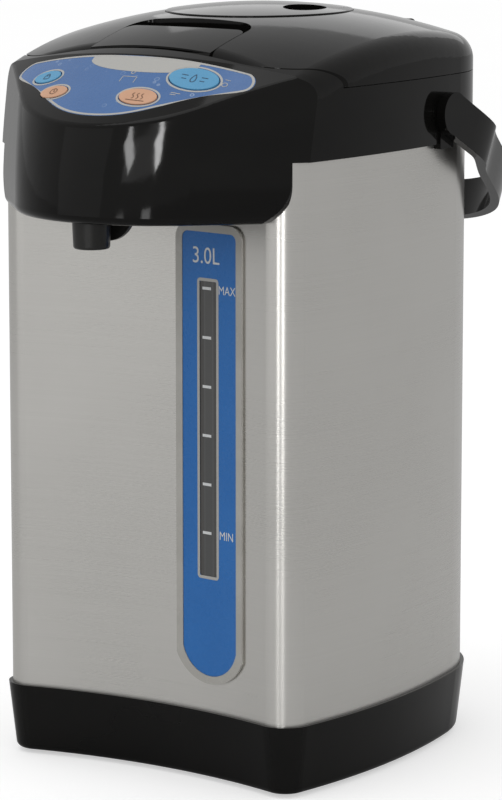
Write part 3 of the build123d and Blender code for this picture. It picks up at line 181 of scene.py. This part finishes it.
# ---------------------------------------------------------------- finishes
# Noise and grain scales are waves or cells per metre, relief depths are metres, and rough
# gives the lowest and highest roughness.
def gloss_moulding(name, colour, cloud, rough, level):
    """Polished moulded plastic: faint flow marks, fine handling haze and a slight ripple."""
    finish, tree, shader = new_finish(name)
    flow = noise(tree, 22, (1, 1, 2.5), 4)
    haze = noise(tree, 160, detail=6, rough=0.7)
    feed(
        tree, shader,
        Base_Color=between(tree, spread(tree, flow, 0, 1), colour, cloud),
        Roughness=spread(tree, haze, *rough), Specular_IOR_Level=level, IOR=1.46,
    )
    ripple = relief(tree, shader, noise(tree, 90, detail=1), 0.00002)
    relief(tree, shader, noise(tree, 1800, detail=2), 0.0000024, ripple)
    return finish


def fine_matt(name, colour, cloud, rough, grain, depth, level, sheen=0.0):
    """Spark-eroded or soft surface: a fine grain over a cloudy colour."""
    finish, tree, shader = new_finish(name)
    feed(
        tree, shader,
        Base_Color=between(tree, spread(tree, noise(tree, 60, detail=5), 0, 1), colour, cloud),
        Roughness=spread(tree, noise(tree, 300, detail=4), *rough),
        Specular_IOR_Level=level, Sheen_Weight=sheen,
    )
    relief(tree, shader, cells(tree, grain), depth)
    return finish


def brushed_metal(name, colour, cloud, rough, stretch, anisotropy=0.0, depth=0.000004):
    """Metal with long fine strokes; stretch is small along the strokes."""
    finish, tree, shader = new_finish(name)
    strokes = noise(tree, 1, stretch, 5, 0.6)
    patches = noise(tree, 12, detail=3)
    tone = sums(tree, "MULTIPLY_ADD", strokes, 0.5, times(tree, patches, 0.5))
    feed(
        tree, shader,
        Base_Color=between(tree, spread(tree, tone, 0, 1, 0.35, 0.65), colour, cloud),
        Roughness=spread(tree, tone, *rough, 0.35, 0.65),
        Metallic=1.0, Anisotropic=anisotropy, Anisotropic_Rotation=0.25,
    )
    if anisotropy:
        tangent = node(tree, "ShaderNodeTangent", {}, direction_type="RADIAL", axis="Z")
        tree.links.new(tangent.outputs[0], shader.inputs["Tangent"])
    relief(tree, shader, strokes, depth)
    return finish


def printed_film(name, colour, deep, drops):
    """Printed film under a clear hard coat: even ink with a fine screen, and rings of pale
    drops in patches where drops is more than 0."""
    finish, tree, shader = new_finish(name)
    screen = noise(tree, 2600, detail=1)
    print_colour = between(tree, spread(tree, noise(tree, 26, detail=2), 0, 1), colour, deep)
    print_colour = between(
        tree, spread(tree, screen, 0, 0.07), print_colour, (0.30, 0.42, 0.60)
    )
    if drops:
        ring = sums(tree, "COMPARE", cells(tree, 210.0), 0.22, 0.035)
        patch = spread(tree, noise(tree, 38, detail=2), 0, 1, 0.50, 0.62)
        print_colour = between(
            tree, times(tree, times(tree, ring, patch), drops),
            print_colour, (0.42, 0.52, 0.66),
        )
    feed(
        tree, shader, Base_Color=print_colour,
        Roughness=spread(tree, noise(tree, 240, detail=5), 0.22, 0.34),
        Specular_IOR_Level=0.25, Coat_Weight=0.20, Coat_Roughness=0.12,
    )
    relief(tree, shader, screen, 0.000004)
    return finish


def smoked_window_painted_tube(name):
    """Smoked clear plastic with the level tube behind it painted into its colour as painted
    light:
    pale across the tube, a painted highlight paler at its two walls, and painted shade darker
    where it holds water."""
    finish, tree, shader = new_finish(name)
    split = node(tree, "ShaderNodeSeparateXYZ", {0: place_of(tree)})
    off = away_from(tree, split.outputs[0], TUBE_X)
    # Painted light: the lit level tube behind the window, painted into its colour as a pale
    # stripe
    tube = spread(tree, off, 1, 0, TUBE_INSIDE, TUBE_OUTSIDE)
    # Painted highlight: paler at the tube's two walls
    wall_highlight = spread(tree, away_from(tree, off, WALL_OFF), 1, 0, 0.0, WALL_HIGHLIGHT_FADE)
    # Painted shade: darker where the tube holds water
    water = spread(tree, split.outputs[2], 1, 0, WATER_TOP, WATER_TOP + WATER_FADE)
    seen = between(
        tree, noise(tree, 70, detail=3), (0.052, 0.050, 0.047), (0.066, 0.064, 0.061)
    )
    # Painted light through the tube, then the painted wall highlight, then the painted water
    # shade
    seen = between(tree, times(tree, tube, 0.5), seen, (0.085, 0.088, 0.088))
    seen = between(tree, times(tree, wall_highlight, 0.35), seen, (0.14, 0.14, 0.14))
    seen = between(
        tree, times(tree, times(tree, water, tube), 0.25), seen, (0.03, 0.034, 0.036)
    )
    feed(
        tree, shader, Base_Color=seen,
        Roughness=spread(tree, noise(tree, 200, detail=5), 0.12, 0.2),
        Specular_IOR_Level=0.45, Coat_Weight=0.4, Coat_Roughness=0.08,
    )
    relief(tree, shader, noise(tree, 60, detail=1), 0.00002)
    return finish


def screen_print(name, colour, worn):
    """Screen print: a slightly uneven colour and a dry surface."""
    finish, tree, shader = new_finish(name)
    dots = noise(tree, 3200, detail=2)
    feed(
        tree, shader,
        Base_Color=between(tree, spread(tree, dots, 0, 1, 0.45, 0.75), colour, worn),
        Roughness=spread(tree, noise(tree, 500, detail=3), 0.35, 0.5),
        Specular_IOR_Level=0.4,
    )
    relief(tree, shader, dots, 0.000006)
    return finish


def felt(name):
    """Mineral fibre blanket: crossed fibres."""
    finish, tree, shader = new_finish(name)
    upright = noise(tree, 1, (2600, 300, 300), 4)
    crossing = noise(tree, 1, (300, 2200, 900), 4)
    fibres = sums(tree, "MAXIMUM", upright, crossing)
    feed(
        tree, shader,
        Base_Color=between(
            tree, spread(tree, fibres, 0, 1), (0.5, 0.49, 0.44), (0.8, 0.79, 0.74)
        ),
        Roughness=spread(tree, fibres, 0.85, 1.0), Sheen_Weight=0.2,
    )
    relief(tree, shader, fibres, 0.0003)
    return finish


def printed_board(name):
    """Green solder mask with paler tracks."""
    finish, tree, shader = new_finish(name)
    tracks = node(
        tree, "ShaderNodeTexBrick",
        {"Vector": place_of(tree), "Scale": 160.0, "Mortar Size": 0.08,
         "Color1": (0.02, 0.10, 0.04), "Color2": (0.02, 0.12, 0.05),
         "Mortar": (0.05, 0.22, 0.09)},
    ).outputs["Color"]
    feed(tree, shader, Base_Color=tracks, Roughness=spread(tree, noise(tree, 400), 0.25, 0.4))
    relief(tree, shader, noise(tree, 900), 0.00002)
    return finish


def clear_glass(name):
    """Clear tube with a faint limescale haze."""
    finish, tree, shader = new_finish(name)
    haze = noise(tree, 120, (1, 1, 0.3), 5)
    feed(
        tree, shader,
        Base_Color=between(
            tree, spread(tree, haze, 0, 1), (0.93, 0.96, 0.97), (0.86, 0.90, 0.90)
        ),
        Roughness=spread(tree, haze, 0.03, 0.12), Transmission_Weight=1.0, IOR=1.47,
    )
    relief(tree, shader, haze, 0.00002)
    return finish


finishes = {
    "black_plastic": gloss_moulding(
        "gloss_black_moulding", (0.0042, 0.0040, 0.0037), (0.0062, 0.0059, 0.0054),
        (0.05, 0.09), level=0.17,
    ),
    "dark_plastic": fine_matt(
        "dark_moulding", (0.010, 0.010, 0.009), (0.016, 0.015, 0.014),
        (0.30, 0.42), grain=1600, depth=0.00001, level=0.3,
    ),
    "pale_plastic": gloss_moulding(
        "pale_bezel_moulding", (0.40, 0.39, 0.36), (0.47, 0.46, 0.43),
        (0.20, 0.30), level=0.5,
    ),
    "rubber": fine_matt(
        "foot_rubber", (0.014, 0.014, 0.014), (0.03, 0.03, 0.029),
        (0.65, 0.85), grain=900, depth=0.00005, level=0.3, sheen=0.1,
    ),
    "screws": brushed_metal(
        "zinc_plated_screws", (0.42, 0.42, 0.43), (0.56, 0.55, 0.52),
        (0.25, 0.4), stretch=(900, 900, 900),
    ),
    "contacts": brushed_metal(
        "nickel_pins", (0.55, 0.53, 0.48), (0.66, 0.64, 0.60),
        (0.15, 0.3), stretch=(300, 2400, 2400),
    ),
    "steel": brushed_metal(
        "brushed_steel_sides", (0.600, 0.588, 0.560), (0.640, 0.628, 0.600),
        (0.26, 0.31), stretch=(9, 9, 5200), anisotropy=0.60,
    ),
    "vessel": brushed_metal(
        "polished_vessel", (0.58, 0.57, 0.55), (0.68, 0.67, 0.65),
        (0.10, 0.2), stretch=(6, 6, 1800), anisotropy=0.3,
    ),
    "insulation": felt("mineral_felt"),
    "heater": brushed_metal(
        "cast_heater", (0.40, 0.40, 0.41), (0.55, 0.55, 0.55),
        (0.45, 0.6), stretch=(500, 500, 500), depth=0.00008,
    ),
    "board": printed_board("printed_board"),
    "motor": brushed_metal(
        "plated_motor_can", (0.42, 0.42, 0.43), (0.55, 0.54, 0.52),
        (0.22, 0.35), stretch=(4, 4, 1500),
    ),
    "magnet": fine_matt(
        "sintered_magnet", (0.05, 0.05, 0.055), (0.09, 0.09, 0.09),
        (0.5, 0.7), grain=2400, depth=0.00004, level=0.5,
    ),
    "silicone": fine_matt(
        "milky_silicone", (0.50, 0.50, 0.47), (0.62, 0.62, 0.59),
        (0.4, 0.6), grain=800, depth=0.00003, level=0.4,
    ),
    "clear_tube": clear_glass("clear_tube"),
    "label": printed_film(
        "blue_gauge_film", (0.010, 0.142, 0.465), (0.014, 0.158, 0.500), drops=0.0
    ),
    "window": smoked_window_painted_tube("smoked_window_painted_tube"),
    "panel": printed_film(
        "blue_panel_film", (0.052, 0.138, 0.345), (0.064, 0.160, 0.385), drops=0.6
    ),
    "cyan_key": fine_matt(
        "cyan_key_cap", (0.080, 0.30, 0.52), (0.10, 0.35, 0.58),
        (0.30, 0.42), grain=1500, depth=0.00001, level=0.4,
    ),
    "orange_key": fine_matt(
        "apricot_key_cap", (0.60, 0.33, 0.20), (0.68, 0.40, 0.26),
        (0.30, 0.42), grain=1500, depth=0.00001, level=0.4,
    ),
}
white_ink = screen_print("white_print", (0.72, 0.73, 0.72), (0.60, 0.64, 0.70))
pale_ink = screen_print("pale_grey_print", (0.46, 0.45, 0.42), (0.40, 0.41, 0.42))
dark_ink = screen_print("dark_blue_print", (0.020, 0.060, 0.120), (0.04, 0.11, 0.19))
brown_ink = screen_print("brown_print", (0.16, 0.07, 0.035), (0.26, 0.13, 0.07))

slots = {row["node"]: row["material_slot"] for row in frame["record"]["subparts"]}
for name, piece in nodes.items():
    piece.data.materials.clear()
    piece.data.materials.append(finishes[slots[name]])


# ---------------------------------------------------------------- surfaces that prints lie on
def on_gauge(x, y, behind=LABEL_BEHIND):
    """Points on the gauge label: x across and y the height; the depth is that of a circle
    about an upright axis in front of the pot, at the label's radius less the print's lift."""
    reach = GAUGE_RADIUS + behind - PRINT_LIFT
    return np.stack([x, GAUGE_AXIS_Y + np.sqrt(reach**2 - x**2), y], -1)


def on_window(x, y):
    """Points on the gauge window, which lies a little behind the label's face."""
    return on_gauge(x, y, WINDOW_BEHIND)


def on_panel(x, y, lift):
    """Points over the sloping panel: x round its cylinder and y up the slope from its upper
    edge; the point is the axis plus the radius turned by x over the radius."""
    turn = x / PANEL_RADIUS
    reach = PANEL_RADIUS + lift
    out = reach * np.cos(turn) - PANEL_RADIUS
    return np.stack(
        [
            reach * np.sin(turn),
            PANEL_Y + y * cos(SLOPE) - out * sin(SLOPE),
            PANEL_Z + y * sin(SLOPE) + out * cos(SLOPE),
        ],
        -1,
    )


def panel_view(points):
    """Across, up the slope and height over the panel, of points: on_panel turned round."""
    behind, above = points[:, 1] - PANEL_Y, points[:, 2] - PANEL_Z
    out = -behind * sin(SLOPE) + above * cos(SLOPE) + PANEL_RADIUS
    up = behind * cos(SLOPE) + above * sin(SLOPE)
    across = PANEL_RADIUS * np.arctan2(points[:, 0], out)
    return across, up, np.hypot(points[:, 0], out) - PANEL_RADIUS


def on_key(across, up):
    """A place function for the flat top of the key whose middle is at across and up: points
    on the panel's tangent plane there, raised."""
    middle = on_panel(np.float64(across), np.float64(up), KEY_PROUD + PRINT_LIFT)
    turn = across / PANEL_RADIUS
    right = np.array([cos(turn), sin(SLOPE) * sin(turn), -cos(SLOPE) * sin(turn)])
    rise = np.array([0, cos(SLOPE), sin(SLOPE)])
    return lambda x, y: middle + x[..., None] * right + y[..., None] * rise


def on_crown(x, y, lift=PRINT_LIFT):
    """Points on the lid's crown: a circle across, swept along a wider circle."""
    across = CROWN_RADIUS_X - np.sqrt(CROWN_RADIUS_X**2 - x**2)
    along = np.sqrt((CROWN_RADIUS_Y - across) ** 2 - (y - CROWN_Y) ** 2)
    return np.stack([x, y, CROWN_TOP - CROWN_RADIUS_Y + along + lift], -1)


def on_cap(x, y):
    """Points on the vent cap, which stands a little above the lid."""
    return on_crown(x, y, VENT_PROUD + PRINT_LIFT)


# ---------------------------------------------------------------- lines and outlines
def grid_faces(rows, columns, closed=False):
    """Four-cornered faces of a grid of rows by columns; closed joins the last row to the
    first."""
    index = np.arange(rows * columns).reshape(rows, columns)
    if closed:
        index = np.vstack([index, index[:1]])
    return np.stack(
        [index[:-1, :-1], index[:-1, 1:], index[1:, 1:], index[1:, :-1]], -1
    ).reshape(-1, 4)


def walk(path, step, closed):
    """The path again with points an even step apart, by straight runs between its own."""
    path = np.asarray(path, float)
    if closed:
        path = np.vstack([path, path[:1]])
    gone = np.concatenate([[0], np.cumsum(np.hypot(*np.diff(path, axis=0).T))])
    count = max(2, int(gone[-1] / step) + 1)
    at = np.linspace(0, gone[-1], count + (1 if closed else 0))
    if closed:
        at = at[:-1]
    return np.stack([np.interp(at, gone, path[:, 0]), np.interp(at, gone, path[:, 1])], -1)


def strip(path, width, place, closed=False, step=0.0006):
    """Points and faces of a flat strip along a path: each path point and its two sides,
    half the width away square to the path, carried onto a surface by place."""
    path = walk(path, step, closed)
    if closed:
        way = np.roll(path, -1, 0) - np.roll(path, 1, 0)
    else:
        way = np.gradient(path, axis=0)
    way /= np.hypot(way[:, 0], way[:, 1])[:, None]
    side = np.stack([-way[:, 1], way[:, 0]], -1) * width / 2
    flat = np.stack([path + side, path - side], 1)
    return place(flat[..., 0], flat[..., 1]), grid_faces(len(path), 2, closed)


def joined(parts):
    """Several pairs of points and faces as one pair."""
    start = np.cumsum([0] + [points.reshape(-1, 3).shape[0] for points, _ in parts])
    points = np.vstack([points.reshape(-1, 3) for points, _ in parts])
    return points, np.vstack([faces + start[i] for i, (_, faces) in enumerate(parts)])


def ellipse(x, y, half_x, half_y, start=0.0, end=2 * pi, count=64):
    """Points of an ellipse or part of one: the halves times cosine and sine of the turn."""
    turn = np.linspace(start, end, count, endpoint=end - start < 2 * pi)
    return np.stack([x + half_x * np.cos(turn), y + half_y * np.sin(turn)], -1)


def rounded_box(left, right, low, high, radius, corner_points=7):
    """Outline of a rectangle with round corners, anticlockwise."""
    corners = [
        (right - radius, high - radius, 0), (left + radius, high - radius, 90),
        (left + radius, low + radius, 180), (right - radius, low + radius, 270),
    ]
    return np.vstack(
        [
            ellipse(x, y, radius, radius, radians(a), radians(a + 90), corner_points)
            for x, y, a in corners
        ]
    )


def drop_sign(size):
    """Outline of a water drop: a circle drawn out to a point on top."""
    turn = np.linspace(0, 2 * pi, 40, endpoint=False)
    return np.stack([size * 0.62 * np.sin(turn) * np.sin(turn / 2), size * np.cos(turn)], -1)


def steam_sign(x):
    """A rising wisp at x: the sine of the turn across, and the turn itself upwards."""
    turn = np.linspace(0, 2 * pi, 12)
    return np.stack([x + 0.0006 * np.sin(turn), -0.0018 + 0.0009 * turn / pi * 2], -1)


# ---------------------------------------------------------------- printed pieces
def lay_mesh(name, mesh, finish, body):
    """A new piece of a mesh whose points are in place, riding on a body."""
    mesh.materials.clear()
    mesh.materials.append(finish)
    mesh.update()
    piece = bpy.data.objects.new(name, mesh)
    bpy.context.collection.objects.link(piece)
    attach(piece, body)


def lay_print(name, shape, finish, body):
    """A new piece from its points and faces."""
    points, faces = shape
    mesh = bpy.data.meshes.new(name)
    mesh.from_pydata(points.reshape(-1, 3).tolist(), [], faces.tolist())
    lay_mesh(name, mesh, finish, body)


def mesh_points(mesh):
    """A mesh's points, one row each."""
    flat = np.empty(len(mesh.vertices) * 3)
    mesh.vertices.foreach_get("co", flat)
    return flat.reshape(-1, 3)


def gauge_lettering(name, words, size, x, y, narrow):
    """Words on the gauge label as a flat mesh, set from x on the line y."""
    curve = bpy.data.curves.new(name + "_curve", "FONT")
    curve.body = words
    curve.size = size
    holder = bpy.data.objects.new(name + "_holder", curve)
    bpy.context.collection.objects.link(holder)
    mesh = bpy.data.meshes.new_from_object(holder)
    bpy.data.objects.remove(holder)
    flat = mesh_points(mesh)
    mesh.vertices.foreach_set("co", on_gauge(x + flat[:, 0] * narrow, y + flat[:, 1]).ravel())
    mesh.name = name
    lay_mesh(name, mesh, white_ink, "frame")


# Water gauge: border of the window, ticks, capacity and the two end marks
BORDER_OUT = 0.0005
WINDOW_BORDER = 0.0013
TICK_LEFT, TICK_RIGHT = 0.0268, 0.0316
TICK_HEIGHTS = np.linspace(0.1087, 0.2127, 6)
TICK_WIDTH = 0.0012

window_low, window_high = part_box("gauge_window")
border_line = rounded_box(
    window_low[0] - BORDER_OUT, window_high[0] + BORDER_OUT,
    window_low[2] - BORDER_OUT, window_high[2] + BORDER_OUT, radius=0.0008,
)
lay_print(
    "window_border", strip(border_line, WINDOW_BORDER, on_gauge, closed=True),
    pale_ink, "frame",
)
ticks = [
    strip([(TICK_LEFT, z), (TICK_RIGHT, z)], TICK_WIDTH, on_window) for z in TICK_HEIGHTS
]
lay_print("level_ticks", joined(ticks), white_ink, "frame")
gauge_lettering("capacity_print", "3.0L", 0.0098, 0.0212, 0.2232, narrow=0.92)
gauge_lettering("max_print", "MAX", 0.0052, 0.0358, 0.2108, narrow=0.88)
gauge_lettering("min_print", "MIN", 0.0052, 0.0362, 0.1068, narrow=0.88)

# Control panel: outline of the film's raised face, as across and up the slope; a point is on
# that face when it is this near the highest one
TOP_FACE = 0.00004
across, up, lift = panel_view(mesh_points(nodes["control_panel"].data))
film_lift = float(lift.max())
top = lift > film_lift - TOP_FACE
edge = np.stack([across[top], up[top]], -1)
edge = edge[convex_hull_2d([tuple(point) for point in edge])]


def on_film(x, y):
    """Points just above the panel's film."""
    return on_panel(x, y, film_lift + PRINT_LIFT)


BORDER_INSIDE = 0.0009
PANEL_BORDER = 0.0011
inward = edge.mean(0) - edge
inward /= np.hypot(inward[:, 0], inward[:, 1])[:, None]
lay_print(
    "panel_border", strip(edge + inward * BORDER_INSIDE, PANEL_BORDER, on_film, closed=True),
    pale_ink, "frame",
)

# Each key's middle, across and up the slope, and its two half sizes
KEYS = {
    "dispense": (0.0345, -0.0084, 0.0115, 0.0065),
    "boil": (0.0161, -0.0240, 0.0090, 0.0050),
    "lock": (-0.0394, -0.0115, 0.0070, 0.0040),
    "timer": (-0.0284, -0.0228, 0.0070, 0.0040),
}
RING_OUT = 0.0010
RING_WIDTH = 0.0009
rings = [
    strip(ellipse(x, y, half_x + RING_OUT, half_y + RING_OUT), RING_WIDTH, on_film, closed=True)
    for x, y, half_x, half_y in KEYS.values()
]
lay_print("key_rings", joined(rings), pale_ink, "frame")

# Bare pale plate at the panel's upper edge: between that edge and half an ellipse
PLATE_LEFT, PLATE_RIGHT = -0.0215, 0.0325
PLATE_MIDDLE = 0.0055
PLATE_HALF = 0.0275
PLATE_DEPTH = 0.0085
PLATE_ROWS, PLATE_COLUMNS = 6, 55
REAR_ABOVE = -0.006
EDGE_GAP = 0.0007
THINNEST = 0.0001

rear = edge[edge[:, 1] > REAR_ABOVE]
rear = rear[np.argsort(rear[:, 0])]
column = np.linspace(PLATE_LEFT, PLATE_RIGHT, PLATE_COLUMNS)
share = (column - PLATE_MIDDLE) / PLATE_HALF
ellipse_low = -PLATE_DEPTH * np.sqrt(np.clip(1 - share**2, 0, 1))
rear_high = np.interp(column, rear[:, 0], rear[:, 1]) - EDGE_GAP
part = np.linspace(0, 1, PLATE_ROWS)[:, None]
rows = rear_high + (np.minimum(ellipse_low, rear_high - THINNEST) - rear_high) * part
plate = on_film(np.broadcast_to(column, rows.shape), rows)
plate_faces = grid_faces(PLATE_ROWS, PLATE_COLUMNS)[:, ::-1]
lay_print("pale_plate_print", (plate, plate_faces), pale_ink, "frame")

# Small signs on the film: a cup, dots for the lamps, and lead lines
FINE_LINE = 0.00035
BOLD_LINE = 0.0004
cup_line = [(0.0015, -0.0155), (0.0015, -0.0118), (0.0085, -0.0118), (0.0085, -0.0155)]
signs = [
    strip(cup_line, FINE_LINE, on_film),
    strip(ellipse(0.0050, -0.0090, 0.0009, 0.0009), BOLD_LINE, on_film, closed=True),
    strip([(0.0475, -0.0050), (0.0500, -0.0050)], FINE_LINE, on_film),
    strip(ellipse(0.0487, -0.0080, 0.0012, 0.0012), FINE_LINE, on_film, closed=True),
    strip([(0.0290, -0.0185), (0.0335, -0.0185)], BOLD_LINE, on_film),
    strip([(0.0290, -0.0196), (0.0318, -0.0196)], BOLD_LINE, on_film),
]
lay_print("panel_signs", joined(signs), pale_ink, "frame")

# Signs on the keys, about each key's middle: closed outlines, open lines, ink and slot
KEY_LINE = 0.00045
KEY_STEP = 0.00025
key_signs = {
    "dispense": (
        [drop_sign(0.0024)],
        [[(-0.0062, 0.0012), (-0.0032, 0.0012)], [(0.0032, 0.0012), (0.0062, 0.0012)],
         [(-0.0055, -0.0010), (-0.0032, -0.0010)], [(0.0032, -0.0010), (0.0055, -0.0010)]],
        dark_ink, "cyan_key",
    ),
    "boil": (
        [],
        [steam_sign(-0.0022), steam_sign(0.0), steam_sign(0.0022),
         [(-0.0045, -0.0028), (0.0045, -0.0028)]],
        brown_ink, "orange_key",
    ),
    "lock": (
        [rounded_box(-0.0014, 0.0014, -0.0017, 0.0004, 0.0003)],
        [ellipse(0, 0.0005, 0.0009, 0.0011, 0, pi, 14)],
        dark_ink, "cyan_key",
    ),
    "timer": (
        [ellipse(0, 0, 0.0017, 0.0017)],
        [[(0, 0.0011), (0, 0), (0.0008, -0.0004)]],
        brown_ink, "orange_key",
    ),
}
for key, (outlines, lines, finish, slot) in key_signs.items():
    place = on_key(*KEYS[key][:2])
    parts = [strip(line, KEY_LINE, place, closed=True, step=KEY_STEP) for line in outlines]
    parts += [strip(line, KEY_LINE, place, step=KEY_STEP) for line in lines]
    lay_print(key + "_key_print", joined(parts), finish, "key_" + key)

# Vent: mark on the turning cap and its stop on the lid
MARK_WIDTH = 0.0012
STOP_WIDTH = 0.0008
cap_line = strip([(0.0300, 0.0290), (0.0312, 0.0350)], MARK_WIDTH, on_cap)
lay_print("vent_mark", cap_line, white_ink, "vent")
lid_ring = strip(ellipse(0.0272, 0.0480, 0.0007, 0.0007), STOP_WIDTH, on_crown, closed=True)
lay_print("lid_mark", lid_ring, white_ink, "lid")

# ---------------------------------------------------------------- floor, light and camera
FLOOR_HALF = 40
FLOOR_GLOW = 0.52
WORLD_LEVEL = 0.76
MIRROR_DROP = 0.12
AIM_HEIGHT = 0.16

CAMERA_LENS = 168.98
CAMERA_SENSOR = 36
CAMERA_PLACE = (0.9241, -1.34006, 0.42263)
CAMERA_TILT = 80.6
CAMERA_ROUND = 34.5


def background_rays(tree):
    """1 for the rays that show the background, straight or through glass, and 1 for mirror
    rays."""
    ray = node(tree, "ShaderNodeLightPath", {}).outputs
    shown = sums(tree, "MAXIMUM", ray["Is Camera Ray"], ray["Is Transmission Ray"])
    return shown, ray["Is Glossy Ray"]


finish, tree, shader = new_finish("pale_floor")
tree.nodes.remove(shader)
seen = background_rays(tree)[0]
paint = between(tree, noise(tree, 3), (0.61, 0.61, 0.61), (0.63, 0.63, 0.63))
dull = node(tree, "ShaderNodeBsdfDiffuse", {"Color": paint})
glow = node(tree, "ShaderNodeEmission", {"Strength": times(tree, seen, FLOOR_GLOW)})
both = node(tree, "ShaderNodeAddShader", {0: dull.outputs[0], 1: glow.outputs[0]})
tree.links.new(both.outputs[0], tree.nodes["Material Output"].inputs[0])
mesh = bpy.data.meshes.new("floor")
mesh.from_pydata(
    [(x * FLOOR_HALF, y * FLOOR_HALF, 0) for x, y in ((-1, -1), (1, -1), (1, 1), (-1, 1))],
    [], [(0, 1, 2, 3)],
)
mesh.materials.append(finish)
floor = bpy.data.objects.new("floor", mesh)
bpy.context.collection.objects.link(floor)

world = bpy.data.worlds.new("studio")
bpy.context.scene.world = world
world.use_nodes = True
tree = world.node_tree
seen, mirrored = background_rays(tree)
level = sums(tree, "MULTIPLY_ADD", mirrored, -MIRROR_DROP, WORLD_LEVEL)
tree.links.new(sums(tree, "MAXIMUM", seen, level), tree.nodes["Background"].inputs["Strength"])
tree.nodes["Background"].inputs["Color"].default_value = (1, 1, 1, 1)


def softbox(name, azimuth, height, distance, width, tall, level, mirror_only=False, roll=0):
    """A lamp round the pot, azimuth degrees from the front, aimed at its middle height and
    rolled in its own plane; level is the brightness of its face."""
    lamp = bpy.data.lights.new(name, "AREA")
    lamp.shape = "RECTANGLE"
    lamp.size = width
    lamp.size_y = tall
    lamp.energy = level * pi * width * tall
    box = bpy.data.objects.new(name, lamp)
    turn = radians(azimuth)
    box.location = (distance * sin(turn), -distance * cos(turn), height)
    drop = np.arctan2(height - AIM_HEIGHT, distance)
    aim = Euler((pi / 2 - drop, 0, turn)).to_matrix() @ Matrix.Rotation(radians(roll), 3, "Z")
    box.rotation_euler = aim.to_euler()
    box.visible_camera = False
    if mirror_only:
        box.visible_diffuse = False
    bpy.context.collection.objects.link(box)


# Lamps: degrees round, height, distance, width, tall and level.  The top one lights the pot;
# the others only make the reflections in the steel and in the black mouldings.
softbox("top_softbox", -20, 1.9, 0.5, 1.2, 1.2, 1.3)
softbox("wide_softbox", -30, 0.45, 1.6, 1.1, 1.1, 0.30, mirror_only=True)
softbox("back_softbox", -158, 0.90, 1.6, 1.1, 0.6, 0.55, mirror_only=True)
softbox("strip_lamp_left", 4, 0.12, 1.5, 0.14, 0.24, 8.0, mirror_only=True)
softbox("strip_lamp_right", 23, 0.12, 1.5, 0.16, 0.24, 7.0, mirror_only=True)
softbox("window_lamp", 14.0, 0.62, 1.58, 0.66, 0.25, 1.2, mirror_only=True)
softbox("pane_lamp_left", 4.6, 0.68, 1.56, 0.12, 0.27, 20.0, mirror_only=True, roll=48)
softbox("pane_lamp_right", 24.6, 0.62, 1.57, 0.10, 0.24, 34.0, mirror_only=True, roll=36)

camera = bpy.data.cameras.new("camera")
camera.lens = CAMERA_LENS
camera.sensor_width = CAMERA_SENSOR
viewer = bpy.data.objects.new("camera", camera)
viewer.location = CAMERA_PLACE
viewer.rotation_euler = (radians(CAMERA_TILT), 0, radians(CAMERA_ROUND))
bpy.context.collection.objects.link(viewer)
bpy.context.scene.camera = viewer
bpy.context.scene.view_settings.view_transform = "Standard"
